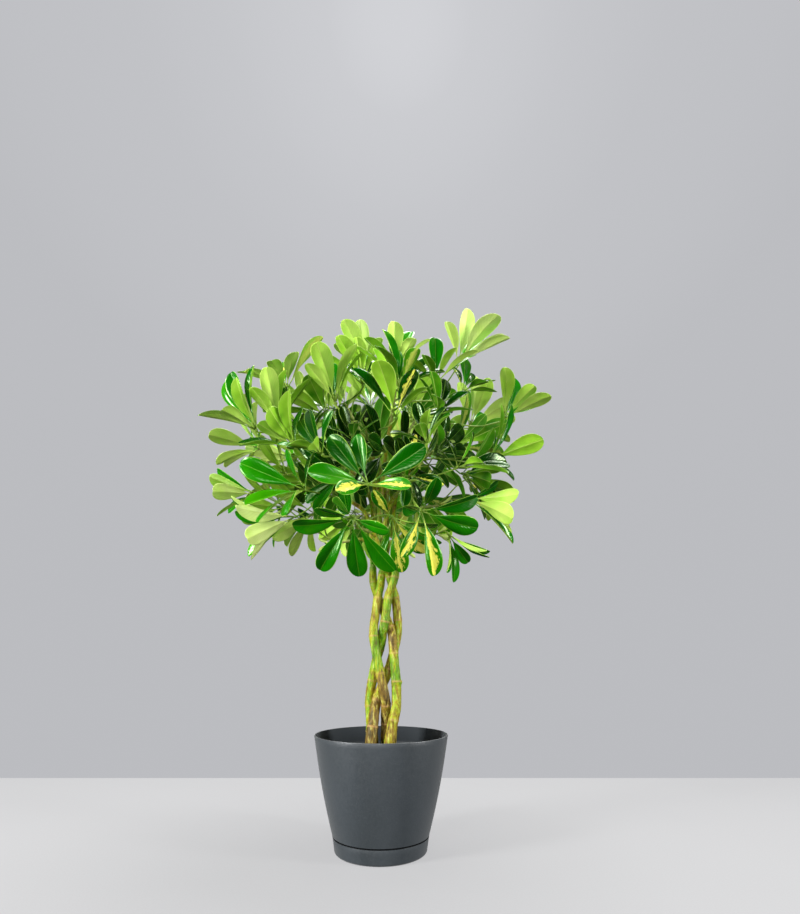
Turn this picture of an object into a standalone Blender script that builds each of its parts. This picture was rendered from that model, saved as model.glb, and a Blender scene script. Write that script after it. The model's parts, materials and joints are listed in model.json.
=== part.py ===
"""A potted umbrella tree with yellow-splashed leaves: four plaited stems in a tapered pot with its tray.

Metres, +Z up. The origin is on the pot's axis, on the face that the tray stands on, and -Y is the front.
"""

import math
import random
from collections import namedtuple

import bmesh
import bpy
from mathutils import Vector
from mathutils.bvhtree import BVHTree

# Pot and tray
RIM_RADIUS = 0.1175
RIM_HEIGHT = 0.197
WALL = 0.0026
WALL_BOW = 0.0027
EDGE_ROUND = 0.0008
SEAM_HEIGHT = 0.0275
SEAM_RADIUS = 0.0835
SEAM_GROOVE = 0.0013
BASE_RADIUS = 0.0795
BASE_ROUND = 0.005
FLOOR = 0.003
FIT = 0.0003
TURNED_SIDES = 36
WALL_STEPS = 3
DRAIN_HOLES = 4
DRAIN_RADIUS = 0.005
DRAIN_CIRCLE = 0.045

# Soil
SOIL_HEIGHT = 0.160
SOIL_DOME = 0.004
SOIL_RINGS = 3
SOIL_BUMP = 0.0012
WALL_SAG = 0.0004
HOLE_CLEARANCE = 0.0008
HOLE_SIDES = 12

# Plaited stems: each route lists (x, y, z) in millimetres, from the soil to the fork
STEM_FOOT = 0.095
STEM_ROUTES = (
    ((6, 11, 184), (9, 8, 218), (7, 2, 238), (2, -7, 256), (-1, -8, 291), (-7, -8, 326), (-10, -7, 362),
     (-10, -3, 398), (-8, -7, 435), (-4, -7, 453), (-1, -2, 472), (6, 8, 500)),
    ((-12, 13, 184), (-14, 11, 218), (-16, 9, 256), (-15, 8, 291), (-10, 11, 326), (-4, 11, 344), (3, 6, 362),
     (5, -6, 380), (5, -9, 398), (12, -8, 435), (14, -8, 453), (19, -8, 472), (25, -6, 500)),
    ((12, -10, 184), (17, -8, 218), (25, -6, 245), (30, -5, 275), (28, -6, 300), (21, -7, 326), (17, -2, 362),
     (13, 6, 380), (9, 10, 398), (4, 11, 416), (-4, 11, 435), (-13, 8, 453), (-15, 3, 475), (-17, 2, 500)),
    ((-20, -11, 184), (-16, -8, 218), (-9, 7, 256), (0, 10, 280), (9, 10, 300), (16, 12, 326), (27, 15, 362),
     (30, 12, 398), (27, 8, 435), (21, 8, 455), (12, 8, 472), (3, 0, 487), (2, -11, 500)),
)
STEM_RADII = ((0.095, 0.0112), (0.184, 0.0110), (0.215, 0.0094), (0.260, 0.0087), (0.350, 0.0082),
              (0.430, 0.0078), (0.480, 0.0070), (0.500, 0.0064))
STEM_STEP = 0.0160
STEM_SIDES = 7
STEM_GAP = 0.0014
STEM_OWNER = -1
FOOT_SPREAD = 0.0022
SPREADING_ROUNDS = 120

# Limbs, from each stem's fork to the shoots: turn from the stem's sector, then the distance from the crown's
# axis and the height at which the shoot starts, and the tilt at which it leaves
STEM_SECTORS = (180.0, 90.0, 270.0, 0.0)
SHOOTS_PER_STEM = (
    (-24.0, 0.048, 0.552, -4.0),
    (22.0, 0.060, 0.612, 12.0),
    (-14.0, 0.062, 0.684, 34.0),
    (20.0, 0.046, 0.752, 60.0),
)
CROWN_AXIS_X = 0.0
LIMB_SIDES = 5
LIMB_STEPS = 5
LIMB_RADIUS = 0.0050
LIMB_END_RADIUS = 0.0034
LIMB_SINK = 0.007
LIMB_UPRIGHT = 2.5
SHOOT_LENGTH = 0.055
SHOOT_RADIUS = 0.0031
SHOOT_TIP_RADIUS = 0.0018
SHOOT_SIDES = 6
SHOOT_STEPS = 3
FEWEST_LEAVES_PER_SHOOT = 2
MOST_LEAVES_PER_SHOOT = 6
FAR_LEAF = 0.16

# Leaves: a stalk, a hub, and leaflets round it
STALK_RADIUS = 0.0013
STALK_SIDES = 3
STALK_STEPS = 4
STALK_BEND = 0.35
STALK_SPACING = 0.15
STALK_PUSH = 0.0011
HUB_RADIUS = 0.0032
HUB_WAIST = 0.75
HUB_SPREAD = 60.0
HUB_DEPTH = 0.0040
RIB_THICKNESS = 0.0015
LEAFLET_FOOT = 0.14
FOOT_HALF_WIDTH = 0.0012
WIDTH_SHARE = 0.176
BROADEST = 1.72
ROUNDNESS = 0.56
SOURCE_STATIONS = (0.0, 0.14, 0.54, 0.88)
ARCH = 24.0
FOLD = 14.0
LEAF_GAP = 0.0008
TRIES = 40
TRIES_ALONE = 26
LEAST_TURN = 24.0
LEAST_SPREAD = 16.0
SEED = 11

# Leaves placed as they look from VIEWPOINT, at the front. Each row has the hub (x, y, z) and the longest
# leaflet's length, then (x, z) of the tips that lean towards VIEWPOINT and of those that lean away from it,
# where they are seen at the hub's y. All are in millimetres.
VIEWPOINT = Vector((0.033, -1.012, 0.329))
PLACED_LEAVES = (
    ((-215, -90, 720), 115, ((-315, 745), (-275, 755), (-325, 790), (-255, 815)), ()),
    ((-175, -90, 720), 110, ((-220, 800), (-125, 810)), ((-165, 795),)),
    ((-175, -40, 820), 110, ((-205, 880), (-160, 890), (-105, 915), (-250, 850)), ((-185, 875),)),
    ((-75, -120, 755), 108, ((-135, 815), (-50, 860)), ((-80, 820), (-110, 825))),
    ((-30, 0, 875), 108, ((-75, 975), (-45, 980), (-10, 940), (-95, 920)), ()),
    ((20, -40, 850), 108, ((25, 955), (60, 915), (-10, 905)), ((35, 910),)),
    ((95, -90, 805), 100, ((75, 850), (130, 865), (40, 850)), ((100, 900),)),
    ((145, 0, 890), 120, ((125, 975), (160, 1005), (220, 995), (245, 935)), ((180, 965),)),
    ((145, -70, 800), 92, ((185, 820), (190, 845), (200, 800), (205, 860)), ((125, 850),)),
    ((95, -130, 730), 98, ((150, 735), (95, 755)), ((110, 790), (145, 765), (140, 745))),
    ((25, -140, 720), 108, ((75, 775),), ((-50, 800), (55, 810), (5, 810))),
    ((230, 0, 780), 102, ((290, 845), (320, 830), (305, 805)), ((240, 865),)),
    ((195, -40, 685), 106, ((295, 725), (270, 695), (260, 660)), ((205, 735),)),
    ((130, -100, 650), 98, ((215, 630), (180, 670), (170, 705)), ((110, 700),)),
    ((155, -50, 610), 104, ((250, 610), (250, 580), (245, 550)), ((200, 640),)),
    ((65, -175, 555), 104, ((35, 560), (85, 605), (35, 485)), ((150, 575), (155, 530), (90, 455))),
    ((-40, -175, 545), 106, ((-95, 565), (-75, 585), (15, 525)),
     ((-125, 530), (-90, 465), (-25, 455), (25, 470))),
    ((-15, -195, 590), 100, ((-65, 575), (50, 590), (-110, 612)), ((-75, 660), (-35, 668), (70, 645))),
    ((-120, -135, 600), 112, ((-215, 620), (-150, 665)), ((-225, 650), (-110, 660))),
    ((-150, -60, 575), 108, ((-250, 540), (-265, 600)), ((-260, 575),)),
    ((-225, -30, 625), 98, ((-315, 630), (-305, 665)), ((-275, 595),)),
    ((-140, -125, 675), 100, ((-200, 715),), ((-235, 677), (-135, 745))),
    ((-90, -160, 650), 92, ((-160, 655), (-75, 720)), ((-130, 705),)),
    ((-130, -70, 710), 80, ((-160, 745), (-125, 770)), ((-95, 765),)),
    ((115, -80, 540), 92, ((120, 475), (170, 490)), ((145, 490),)),
    ((75, -165, 665), 80, ((20, 685), (35, 715)), ((60, 730),)),
    ((-45, -130, 685), 82, ((-85, 710), (0, 715)), ((-65, 740), (-25, 735))),
    ((20, -115, 560), 92, ((38, 470), (-8, 480)), ((75, 500), (5, 620))),
    ((40, -120, 630), 92, ((100, 610), (0, 640)), ((60, 700),)),
)

# How long a placed leaflet is for the length that is seen, and which way its leaf faces
LENGTH_PER_SEEN = 1.08
LEAST_LENGTH_SHARE = 0.72
OUTWARD_SHARE = 0.7
UP_SHARE = 1.4
SIDEWAYS_BELOW = 0.60
UPWARDS_ABOVE = 0.76
NARROWEST = 22.0
WIDEST = 90.0

# The other leaves follow a spiral over this ellipsoid, wherever no placed leaf is near. It leans up towards
# +X, is broader at its top, and is less deep at the front, behind the placed leaves.
CROWN_CENTRE = Vector((-0.005, 0.0, 0.712))
CROWN_RADII = Vector((0.230, 0.220, 0.152))
CROWN_LEAN = 0.12
CROWN_TAPER = 0.14
SPIRAL_STEPS = 120
SPIRAL_LOWEST = -0.75
SPIRAL_DEPTHS = (1.0, 0.66, 0.92, 0.42, 0.82)
SPIRAL_FRONT = 0.70
HUB_SPACING = 0.063
SPIRAL_LEAFLETS = (4, 5, 4, 4)
SPIRAL_SPREAD = 50.0
SPIRAL_SPREAD_FALL = 12.0
SPIRAL_REACH = 0.100

# Looks
POT_COLOUR = (0.09, 0.105, 0.115)
SOIL_COLOUR = (0.035, 0.025, 0.018)
BARK_COLOUR = (0.42, 0.36, 0.13)
LEAF_COLOUR = (0.06, 0.22, 0.03)
PALE_LEAF_COLOUR = (0.38, 0.55, 0.14)
SHARP_ANGLE = 30.0

Aim = namedtuple("Aim", "turn spread length")
Leaf = namedtuple("Leaf", "hub facing up aims")
Leaflet = namedtuple("Leaflet", "root along face length half_width arch fold turn")
Body = namedtuple("Body", "tree centre radius owner leaf")
Plan = namedtuple("Plan", "stems limbs leaves owners stalks leaflets")


def smooth(points, share):
    """A point on the smooth curve through the points, share of the way from first to last."""
    last = len(points) - 2
    place = min(max(share, 0.0), 1.0) * (len(points) - 1)
    start = min(int(place), last)
    t = place - start
    p1, p2 = points[start], points[start + 1]
    p0 = points[start - 1] if start else p1 * 2 - p2
    p3 = points[start + 2] if start < last else p2 * 2 - p1
    return 0.5 * (p1 * 2 + (p2 - p0) * t + (p0 * 2 - p1 * 5 + p2 * 4 - p3) * t * t
                  + (p1 * 3 - p0 - p2 * 3 + p3) * t ** 3)


def bezier(p0, p1, p2, p3, steps):
    points = []
    for i in range(steps + 1):
        t = i / steps
        s = 1 - t
        points.append(p0 * s ** 3 + p1 * (3 * s * s * t) + p2 * (3 * s * t * t) + p3 * t ** 3)
    return points


def heading(turn, tilt):
    """The way that something faces: turn 0 is the front, 90 is +X, and tilt is up."""
    turn = math.radians(turn)
    tilt = math.radians(tilt)
    return Vector((math.sin(turn) * math.cos(tilt), -math.cos(turn) * math.cos(tilt), math.sin(tilt)))


def radius_at(z):
    for (z0, r0), (z1, r1) in zip(STEM_RADII, STEM_RADII[1:]):
        if z <= z1:
            return r0 + (r1 - r0) * max(z - z0, 0.0) / (z1 - z0)
    return STEM_RADII[-1][1]


def tube(points, radii, sides, last_way=None):
    """A closed tube round the points, which may end square to a given way: vertices and faces."""
    count = len(points)
    vertices, faces = [], []
    side = None
    for i, point in enumerate(points):
        ahead = (points[min(i + 1, count - 1)] - points[max(i - 1, 0)]).normalized()
        if last_way and i == count - 1:
            ahead = last_way
        if side is None:
            side = ahead.orthogonal().normalized()
        side = (side - ahead * side.dot(ahead)).normalized()
        other = ahead.cross(side)
        for k in range(sides):
            angle = 2 * math.pi * k / sides
            vertices.append(point + (side * math.cos(angle) + other * math.sin(angle)) * radii[i])
    for i in range(count - 1):
        for k in range(sides):
            a, b = i * sides + k, i * sides + (k + 1) % sides
            faces.append((a, b, b + sides, a + sides))
    faces.append(tuple(reversed(range(sides))))
    faces.append(tuple(range((count - 1) * sides, count * sides)))
    return vertices, faces


def half_width_at(leaflet, s):
    if s <= LEAFLET_FOOT:
        return FOOT_HALF_WIDTH
    t = (s - LEAFLET_FOOT) / (1 - LEAFLET_FOOT)
    blade = leaflet.half_width * max(math.sin(math.pi * t ** BROADEST), 0.0) ** ROUNDNESS
    return max(blade, FOOT_HALF_WIDTH * (1 - t))


def blade(leaflet, stations, grow=0.0):
    """A folded, arched leaflet with a thick rib and thin edges. A grown one keeps others clear."""
    along, face = leaflet.along, leaflet.face
    side = along.cross(face)
    arch = math.radians(leaflet.arch)
    fold = math.radians(leaflet.fold)
    length = leaflet.length + grow
    vertices, faces = [], []
    for s in stations:
        bent = arch * s
        reach = length / arch
        rib = leaflet.root + along * (math.sin(bent) * reach) - face * ((1 - math.cos(bent)) * reach)
        up = face * math.cos(bent) + along * math.sin(bent)
        half = half_width_at(leaflet, s) + grow
        thick = up * (RIB_THICKNESS / 2 + grow)
        edge = side * (half * math.cos(fold))
        lift = up * (half * math.sin(fold))
        vertices += [rib - edge + lift, rib + thick, rib + edge + lift, rib - thick]
    bent = arch
    vertices.append(leaflet.root + along * (math.sin(bent) * reach) - face * ((1 - math.cos(bent)) * reach))
    tip = len(vertices) - 1
    faces += [(0, 1, 3), (1, 2, 3)]
    for i in range(len(stations) - 1):
        a, b = 4 * i, 4 * i + 4
        faces += [(a, b, b + 1), (a, b + 1, a + 1), (a + 2, a + 1, b + 1), (a + 2, b + 1, b + 2)]
        faces += [(a, b + 3, b), (a, a + 3, b + 3), (a + 2, b + 3, a + 3), (a + 2, b + 2, b + 3)]
    end = tip - 4
    faces += [(end, tip, end + 1), (end + 1, tip, end + 2), (end + 2, tip, end + 3), (end + 3, tip, end)]
    return vertices, faces


def turn_about(leaf, way):
    """The turn of a way round the leaf's hub, clockwise from its up, as seen from where it faces."""
    return math.degrees(math.atan2(way.dot(leaf.up.cross(leaf.facing)), way.dot(leaf.up))) % 360


def ring_way(leaf, turn, spread):
    turn = math.radians(turn)
    spread = math.radians(spread)
    out = leaf.up * math.cos(turn) + leaf.up.cross(leaf.facing) * math.sin(turn)
    return leaf.facing * math.cos(spread) + out * math.sin(spread)


def whole_leaf(leaf, leaflets, stalk):
    """A leaf in one closed mesh: its stalk opens into a small hub, from whose sides the leaflets grow."""
    radii = [STALK_RADIUS] * len(stalk)
    vertices, faces = tube(stalk, radii, STALK_SIDES, leaf.facing)
    faces.pop()
    inner = list(range(len(vertices) - STALK_SIDES, len(vertices)))
    leaflets = sorted(leaflets, key=lambda leaflet: leaflet.turn)
    count = len(leaflets)
    top = len(vertices)
    vertices.append(leaf.hub + leaf.facing * HUB_RADIUS)
    edges = []
    for i, leaflet in enumerate(leaflets):
        before = leaflets[i - 1].turn
        gap = (leaflet.turn - before) % 360 or 360
        edges.append(len(vertices))
        vertices.append(leaf.hub + ring_way(leaf, before + gap / 2, HUB_SPREAD) * (HUB_RADIUS * HUB_WAIST))
    outer = []
    for i, leaflet in enumerate(leaflets):
        left, right = edges[i], edges[(i + 1) % count]
        points, sides = blade(leaflet, SOURCE_STATIONS)
        first = len(vertices)
        number = {0: left, 1: first, 2: right, 3: first + 1}
        vertices += [points[1], points[3]] + points[4:]
        number.update({k: first + k - 2 for k in range(4, len(points))})
        faces += [tuple(number[k] for k in face) for face in sides[2:]]
        faces += [(top, left, first), (top, first, right)]
        outer += [left, first + 1]
    faces += stitched(leaf, vertices, outer, inner)
    return vertices, faces


def stitched(leaf, vertices, outer, inner):
    """Triangles between two rings of vertices that both go round the leaf's hub."""
    def from_start(i):
        return (turn_about(leaf, vertices[i] - leaf.hub) - start) % 360

    start = turn_about(leaf, vertices[outer[0]] - leaf.hub)
    inner = sorted(inner, key=from_start)
    ring = [(from_start(i), True, i) for i in outer[1:]] + [(from_start(i), False, i) for i in inner]
    faces = []
    near, far = inner[-1], outer[0]
    for _, is_outer, i in sorted(ring) + [(360.0, True, outer[0])]:
        faces.append((near, far, i))
        if is_outer:
            far = i
        else:
            near = i
    return faces


def body_of(shape, owner, leaf=None):
    vertices, faces = shape
    centre = sum(vertices, Vector()) / len(vertices)
    radius = max((vertex - centre).length for vertex in vertices)
    return Body(BVHTree.FromPolygons(vertices, faces), centre, radius, owner, leaf)


def touches(body, bodies, alone=False):
    """Whether the body meets another node's or, when it should stand alone, any but its own leaf's."""
    return any(
        (other.leaf != body.leaf if alone else other.owner != body.owner)
        and (body.centre - other.centre).length < body.radius + other.radius
        and body.tree.overlap(other.tree)
        for other in bodies
    )


def stem_routes():
    """Each stem's points from its foot to the fork, pushed apart wherever two stems would touch."""
    routes = []
    for listed in STEM_ROUTES:
        points = [Vector(point) / 1000 for point in listed]
        foot = points[0].copy()
        foot.z = STEM_FOOT
        points.insert(0, foot)
        steps = round((points[-1].z - foot.z) / STEM_STEP) * 3
        routes.append([smooth(points, i / steps) for i in range(steps + 1)])
    for _ in range(SPREADING_ROUNDS):
        for a in range(len(routes)):
            for b in range(a + 1, len(routes)):
                for p in routes[a]:
                    q = min(routes[b], key=lambda other: (other - p).length_squared)
                    apart = p - q
                    room = radius_at(p.z) + radius_at(q.z) + STEM_GAP
                    if p.z < SOIL_HEIGHT + SOIL_DOME:
                        room += FOOT_SPREAD
                    short = room - apart.length
                    if short > 0:
                        push = apart.normalized() * (short * 0.5)
                        push.z = 0
                        p += push
                        q -= push
        for route in routes:
            middle = [(route[i - 1] + route[i] * 2 + route[i + 1]) / 4 for i in range(1, len(route) - 1)]
            for i, point in enumerate(middle):
                route[i + 1].x = point.x
                route[i + 1].y = point.y
    return [route[::3] for route in routes]


def seen_leaf(hub, reach, tips_ahead, tips_behind):
    """A leaf whose tips are seen from VIEWPOINT at the given places. A higher leaf faces up more."""
    chords = []
    for tips, side in ((tips_ahead, -1), (tips_behind, 1)):
        for x, z in tips:
            sight = (Vector((x / 1000, hub.y, z / 1000)) - VIEWPOINT).normalized()
            beside = VIEWPOINT + sight * (hub - VIEWPOINT).dot(sight) - hub
            length = min(max(beside.length * LENGTH_PER_SEEN, reach * LEAST_LENGTH_SHARE), reach)
            chords.append(beside + sight * (side * math.sqrt(max(length ** 2 - beside.length_squared, 0.0))))
    mean = sum((chord.normalized() for chord in chords), Vector()) / len(chords)
    height = min(max((hub.z - SIDEWAYS_BELOW) / (UPWARDS_ABOVE - SIDEWAYS_BELOW), 0.0), 1.0)
    lift = Vector((0, 0, UP_SHARE * height))
    facing = (mean + (hub - CROWN_CENTRE).normalized() * OUTWARD_SHARE + lift).normalized()
    leaf = Leaf(hub, facing, facing.orthogonal().normalized(), ())
    aims = []
    for chord in chords:
        spread = math.degrees(facing.angle(chord)) - ARCH / 2
        aims.append(Aim(turn_about(leaf, chord), min(max(spread, NARROWEST), WIDEST), chord.length))
    return leaf._replace(aims=tuple(aims))


def crown_leaves():
    """The placed leaves, then those of the spiral that no placed leaf is near."""
    rng = random.Random(SEED)
    leaves = [seen_leaf(Vector(hub) / 1000, reach / 1000, *tips) for hub, reach, *tips in PLACED_LEAVES]
    for i in range(SPIRAL_STEPS):
        height = SPIRAL_LOWEST + (1 - SPIRAL_LOWEST) * (i + 0.5) / SPIRAL_STEPS
        turn = math.degrees(i * math.pi * (3 - math.sqrt(5)))
        level = heading(turn, math.degrees(math.asin(height))) * (1 + CROWN_TAPER * height)
        depth = SPIRAL_DEPTHS[i % len(SPIRAL_DEPTHS)] * (SPIRAL_FRONT if level.y < 0 else 1)
        hub = CROWN_CENTRE + level * CROWN_RADII * depth
        hub.z += CROWN_LEAN * hub.x
        if all((hub - leaf.hub).length > HUB_SPACING for leaf in leaves):
            tilt = 25 + 50 * height + rng.uniform(-8, 8)
            count = SPIRAL_LEAFLETS[i % len(SPIRAL_LEAFLETS)]
            spread = SPIRAL_SPREAD - SPIRAL_SPREAD_FALL * height + rng.uniform(-6, 6)
            start = rng.uniform(0, 360)
            aims = (
                Aim(start + 360 * (k + rng.uniform(-0.15, 0.15)) / count, spread + rng.uniform(-4, 4),
                    SPIRAL_REACH * rng.uniform(0.92, 1.04))
                for k in range(count)
            )
            leaves.append(Leaf(hub, heading(turn, tilt), heading(turn, tilt + 90), tuple(aims)))
    return leaves


def limb_routes(routes):
    """For each shoot: its stem's number, the limb's points, and the shoot's own points beyond it."""
    limbs = []
    for stem, route in enumerate(routes):
        top = route[-1]
        rise = ((route[-1] - route[-2]).normalized() + Vector((0, 0, LIMB_UPRIGHT))).normalized()
        for offset, distance, height, tilt in SHOOTS_PER_STEM:
            turn = STEM_SECTORS[stem] + offset
            root = Vector((CROWN_AXIS_X, 0, height)) + heading(turn, 0) * distance
            leaving = heading(turn, tilt)
            start = top - rise * LIMB_SINK
            span = (root - start).length
            reach = span * 0.35
            limb = bezier(start, start + rise * reach, root - leaving * reach, root, LIMB_STEPS)
            base = root + leaving * FIT
            shoot = [base + (leaving * (SHOOT_LENGTH * i / SHOOT_STEPS)) for i in range(SHOOT_STEPS + 1)]
            limbs.append((stem, limb, shoot))
    return limbs


def shared_out(leaves, limbs):
    """Each leaf's shoot: the nearest with room for it, once each shoot has the leaves nearest it."""
    pairs = sorted(
        ((leaf.hub - shoot[-1]).length, i, k)
        for i, leaf in enumerate(leaves)
        for k, (_, _, shoot) in enumerate(limbs)
    )
    owners = [None] * len(leaves)
    held = [0] * len(limbs)
    for most, farthest in ((FEWEST_LEAVES_PER_SHOOT, FAR_LEAF), (MOST_LEAVES_PER_SHOOT, math.inf)):
        for distance, i, k in pairs:
            if owners[i] is None and held[k] < most and distance < farthest:
                owners[i] = k
                held[k] += 1
    return owners


def stalk_points(leaf, start, leaving, bend):
    end = leaf.hub - leaf.facing * HUB_DEPTH
    span = (end - start).length
    arriving = (leaf.facing + (end - start).normalized() * 1.5).normalized()
    first = start + leaving * (span * STALK_BEND) + bend
    second = end - arriving * (span * STALK_BEND) + bend
    return bezier(start, first, second, end, STALK_STEPS)


def leaflet_of(leaf, aim, rng, attempt):
    """One leaflet of a leaf. Later attempts bend it further from where it would lie."""
    slack = attempt / TRIES
    swing = 24 * slack + 2
    spread = max(aim.spread + rng.uniform(-2, 2) + rng.uniform(-30, 22) * slack, LEAST_SPREAD)
    turn = (aim.turn + rng.uniform(-swing, swing)) % 360
    length = aim.length * rng.uniform(0.97, 1.03) * (1 - 0.30 * slack)
    roll = math.radians(rng.uniform(-16, 16) * (1 + slack))
    arch = ARCH * rng.uniform(0.6, 1.3)
    along = ring_way(leaf, turn, spread)
    face = -ring_way(leaf, turn, spread + 90)
    face = face * math.cos(roll) + along.cross(face) * math.sin(roll)
    root = leaf.hub + along * HUB_RADIUS
    return Leaflet(root, along, face, length, length * WIDTH_SHARE, arch, FOLD, turn)


def tapered(start, end, steps, grow=0.0):
    return [start + (end - start) * i / steps + grow for i in range(steps + 1)]


def grow_plant():
    """Where every stem, limb, shoot, stalk and leaflet lies, each clear of what belongs to another piece."""
    rng = random.Random(SEED + 1)
    stems = stem_routes()
    limbs = limb_routes(stems)
    leaves = crown_leaves()
    owners = shared_out(leaves, limbs)
    limb_radii = tapered(LIMB_RADIUS, LIMB_END_RADIUS, LIMB_STEPS, LEAF_GAP)
    shoot_radii = tapered(SHOOT_RADIUS, SHOOT_TIP_RADIUS, SHOOT_STEPS, LEAF_GAP)
    bodies = []
    for route in stems:
        radii = [radius_at(point.z) + LEAF_GAP for point in route]
        bodies.append(body_of(tube(route, radii, STEM_SIDES), STEM_OWNER))
    for owner, (_, limb, shoot) in enumerate(limbs):
        bodies.append(body_of(tube(limb, limb_radii, LIMB_SIDES), STEM_OWNER))
        bodies.append(body_of(tube(shoot, shoot_radii, SHOOT_SIDES), owner))

    stalks = [None] * len(leaves)
    held = [0] * len(limbs)
    nearest_first = sorted(range(len(leaves)), key=lambda i: (leaves[i].hub - limbs[owners[i]][2][-1]).length)
    for i in nearest_first:
        leaf, owner = leaves[i], owners[i]
        shoot = limbs[owner][2]
        start = smooth(shoot, 1 - STALK_SPACING * held[owner])
        held[owner] += 1
        leaving = ((shoot[-1] - shoot[0]).normalized() + (leaf.hub - start).normalized()).normalized()
        for attempt in range(TRIES):
            bend = Vector((rng.uniform(-1, 1), rng.uniform(-1, 1), rng.uniform(-0.6, 1)))
            bend = bend * (STALK_PUSH * attempt)
            points = stalk_points(leaf, start, leaving, bend)
            radii = [STALK_RADIUS + LEAF_GAP] * len(points)
            body = body_of(tube(points, radii, STALK_SIDES), owner, i)
            hub_ends = [points[-1], leaf.hub + leaf.facing * HUB_RADIUS]
            hub = body_of(tube(hub_ends, [HUB_RADIUS + LEAF_GAP] * 2, SHOOT_SIDES), owner, i)
            if not touches(body, bodies) and not touches(hub, bodies):
                stalks[i] = points
                bodies += [body, hub]
                break

    leaflets = [[] for _ in leaves]
    for i, leaf in enumerate(leaves):
        if stalks[i] is None:
            continue
        near = [body_of(tube(stalks[i][:-1], [STALK_RADIUS] * STALK_STEPS, STALK_SIDES), owners[i])]
        for aim in leaf.aims:
            for attempt in range(TRIES):
                leaflet = leaflet_of(leaf, aim, rng, attempt)
                turns = [abs((leaflet.turn - other.turn + 180) % 360 - 180) for other in leaflets[i]]
                if any(turn < LEAST_TURN for turn in turns):
                    continue
                body = body_of(blade(leaflet, SOURCE_STATIONS, LEAF_GAP), owners[i], i)
                beyond_foot = body_of(blade(leaflet, SOURCE_STATIONS[1:], LEAF_GAP), owners[i], i)
                alone = attempt < TRIES_ALONE
                if touches(body, bodies, alone=alone) or touches(beyond_foot, near, alone=True):
                    continue
                leaflets[i].append(leaflet)
                bodies.append(body)
                near.append(beyond_foot._replace(leaf=None))
                break
    return Plan(stems, limbs, leaves, owners, stalks, leaflets)


def clear_scene():
    for item in list(bpy.data.objects):
        bpy.data.objects.remove(item, do_unlink=True)


def material(name, colour, roughness):
    made = bpy.data.materials.new(name)
    made.use_nodes = True
    shader = made.node_tree.nodes["Principled BSDF"]
    shader.inputs["Base Color"].default_value = (*colour, 1.0)
    shader.inputs["Roughness"].default_value = roughness
    shader.inputs["Metallic"].default_value = 0.0
    made.diffuse_color = (*colour, 1.0)
    return made


def new_object(name, shape, made=None, collection=None):
    vertices, faces = shape
    mesh = bpy.data.meshes.new(name)
    mesh.from_pydata(vertices, [], faces)
    work = bmesh.new()
    work.from_mesh(mesh)
    bmesh.ops.triangulate(work, faces=[face for face in work.faces if len(face.verts) > 4])
    bmesh.ops.recalc_face_normals(work, faces=work.faces)
    work.to_mesh(mesh)
    work.free()
    if made:
        mesh.materials.append(made)
    made_object = bpy.data.objects.new(name, mesh)
    (collection or bpy.context.scene.collection).objects.link(made_object)
    return made_object


def combined(target, shapes, operation, solver):
    """The target after one Boolean with all the shapes, which are then removed."""
    helpers = bpy.data.collections.new("helpers")
    bpy.context.scene.collection.children.link(helpers)
    for shape in shapes:
        new_object("helper", shape, collection=helpers)
    modifier = target.modifiers.new("Combine", "BOOLEAN")
    modifier.operation = operation
    modifier.operand_type = "COLLECTION"
    modifier.collection = helpers
    modifier.solver = solver
    graph = bpy.context.evaluated_depsgraph_get()
    result = bpy.data.meshes.new_from_object(target.evaluated_get(graph), depsgraph=graph)
    target.modifiers.clear()
    target.data = result
    for helper in list(helpers.objects):
        bpy.data.objects.remove(helper, do_unlink=True)
    bpy.data.collections.remove(helpers)
    return target


def turned(profile, sides):
    """A solid turned about Z from a profile that starts and ends on the axis."""
    vertices = [Vector((0, 0, profile[0][1]))]
    for radius, z in profile[1:-1]:
        for k in range(sides):
            angle = 2 * math.pi * k / sides
            vertices.append(Vector((radius * math.cos(angle), radius * math.sin(angle), z)))
    vertices.append(Vector((0, 0, profile[-1][1])))
    end = len(vertices) - 1
    faces = [(0, 1 + (k + 1) % sides, 1 + k) for k in range(sides)]
    for i in range(len(profile) - 3):
        for k in range(sides):
            a, b = 1 + i * sides + k, 1 + i * sides + (k + 1) % sides
            faces.append((a, b, b + sides, a + sides))
    last = end - sides
    faces += [(last + k, last + (k + 1) % sides, end) for k in range(sides)]
    return vertices, faces


def wall_radius(z):
    """The outer face of the pot's wall: a straight taper with a slight outward bow."""
    share = (z - SEAM_HEIGHT) / (RIM_HEIGHT - SEAM_HEIGHT)
    return SEAM_RADIUS + (RIM_RADIUS - SEAM_RADIUS) * share + WALL_BOW * math.sin(math.pi * share)


def tray_radius(z):
    return BASE_RADIUS + (SEAM_RADIUS - BASE_RADIUS) * z / SEAM_HEIGHT


def foot_radius(z):
    """The pot's foot, which stands inside the tray."""
    return tray_radius(z) - WALL - FIT


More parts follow.
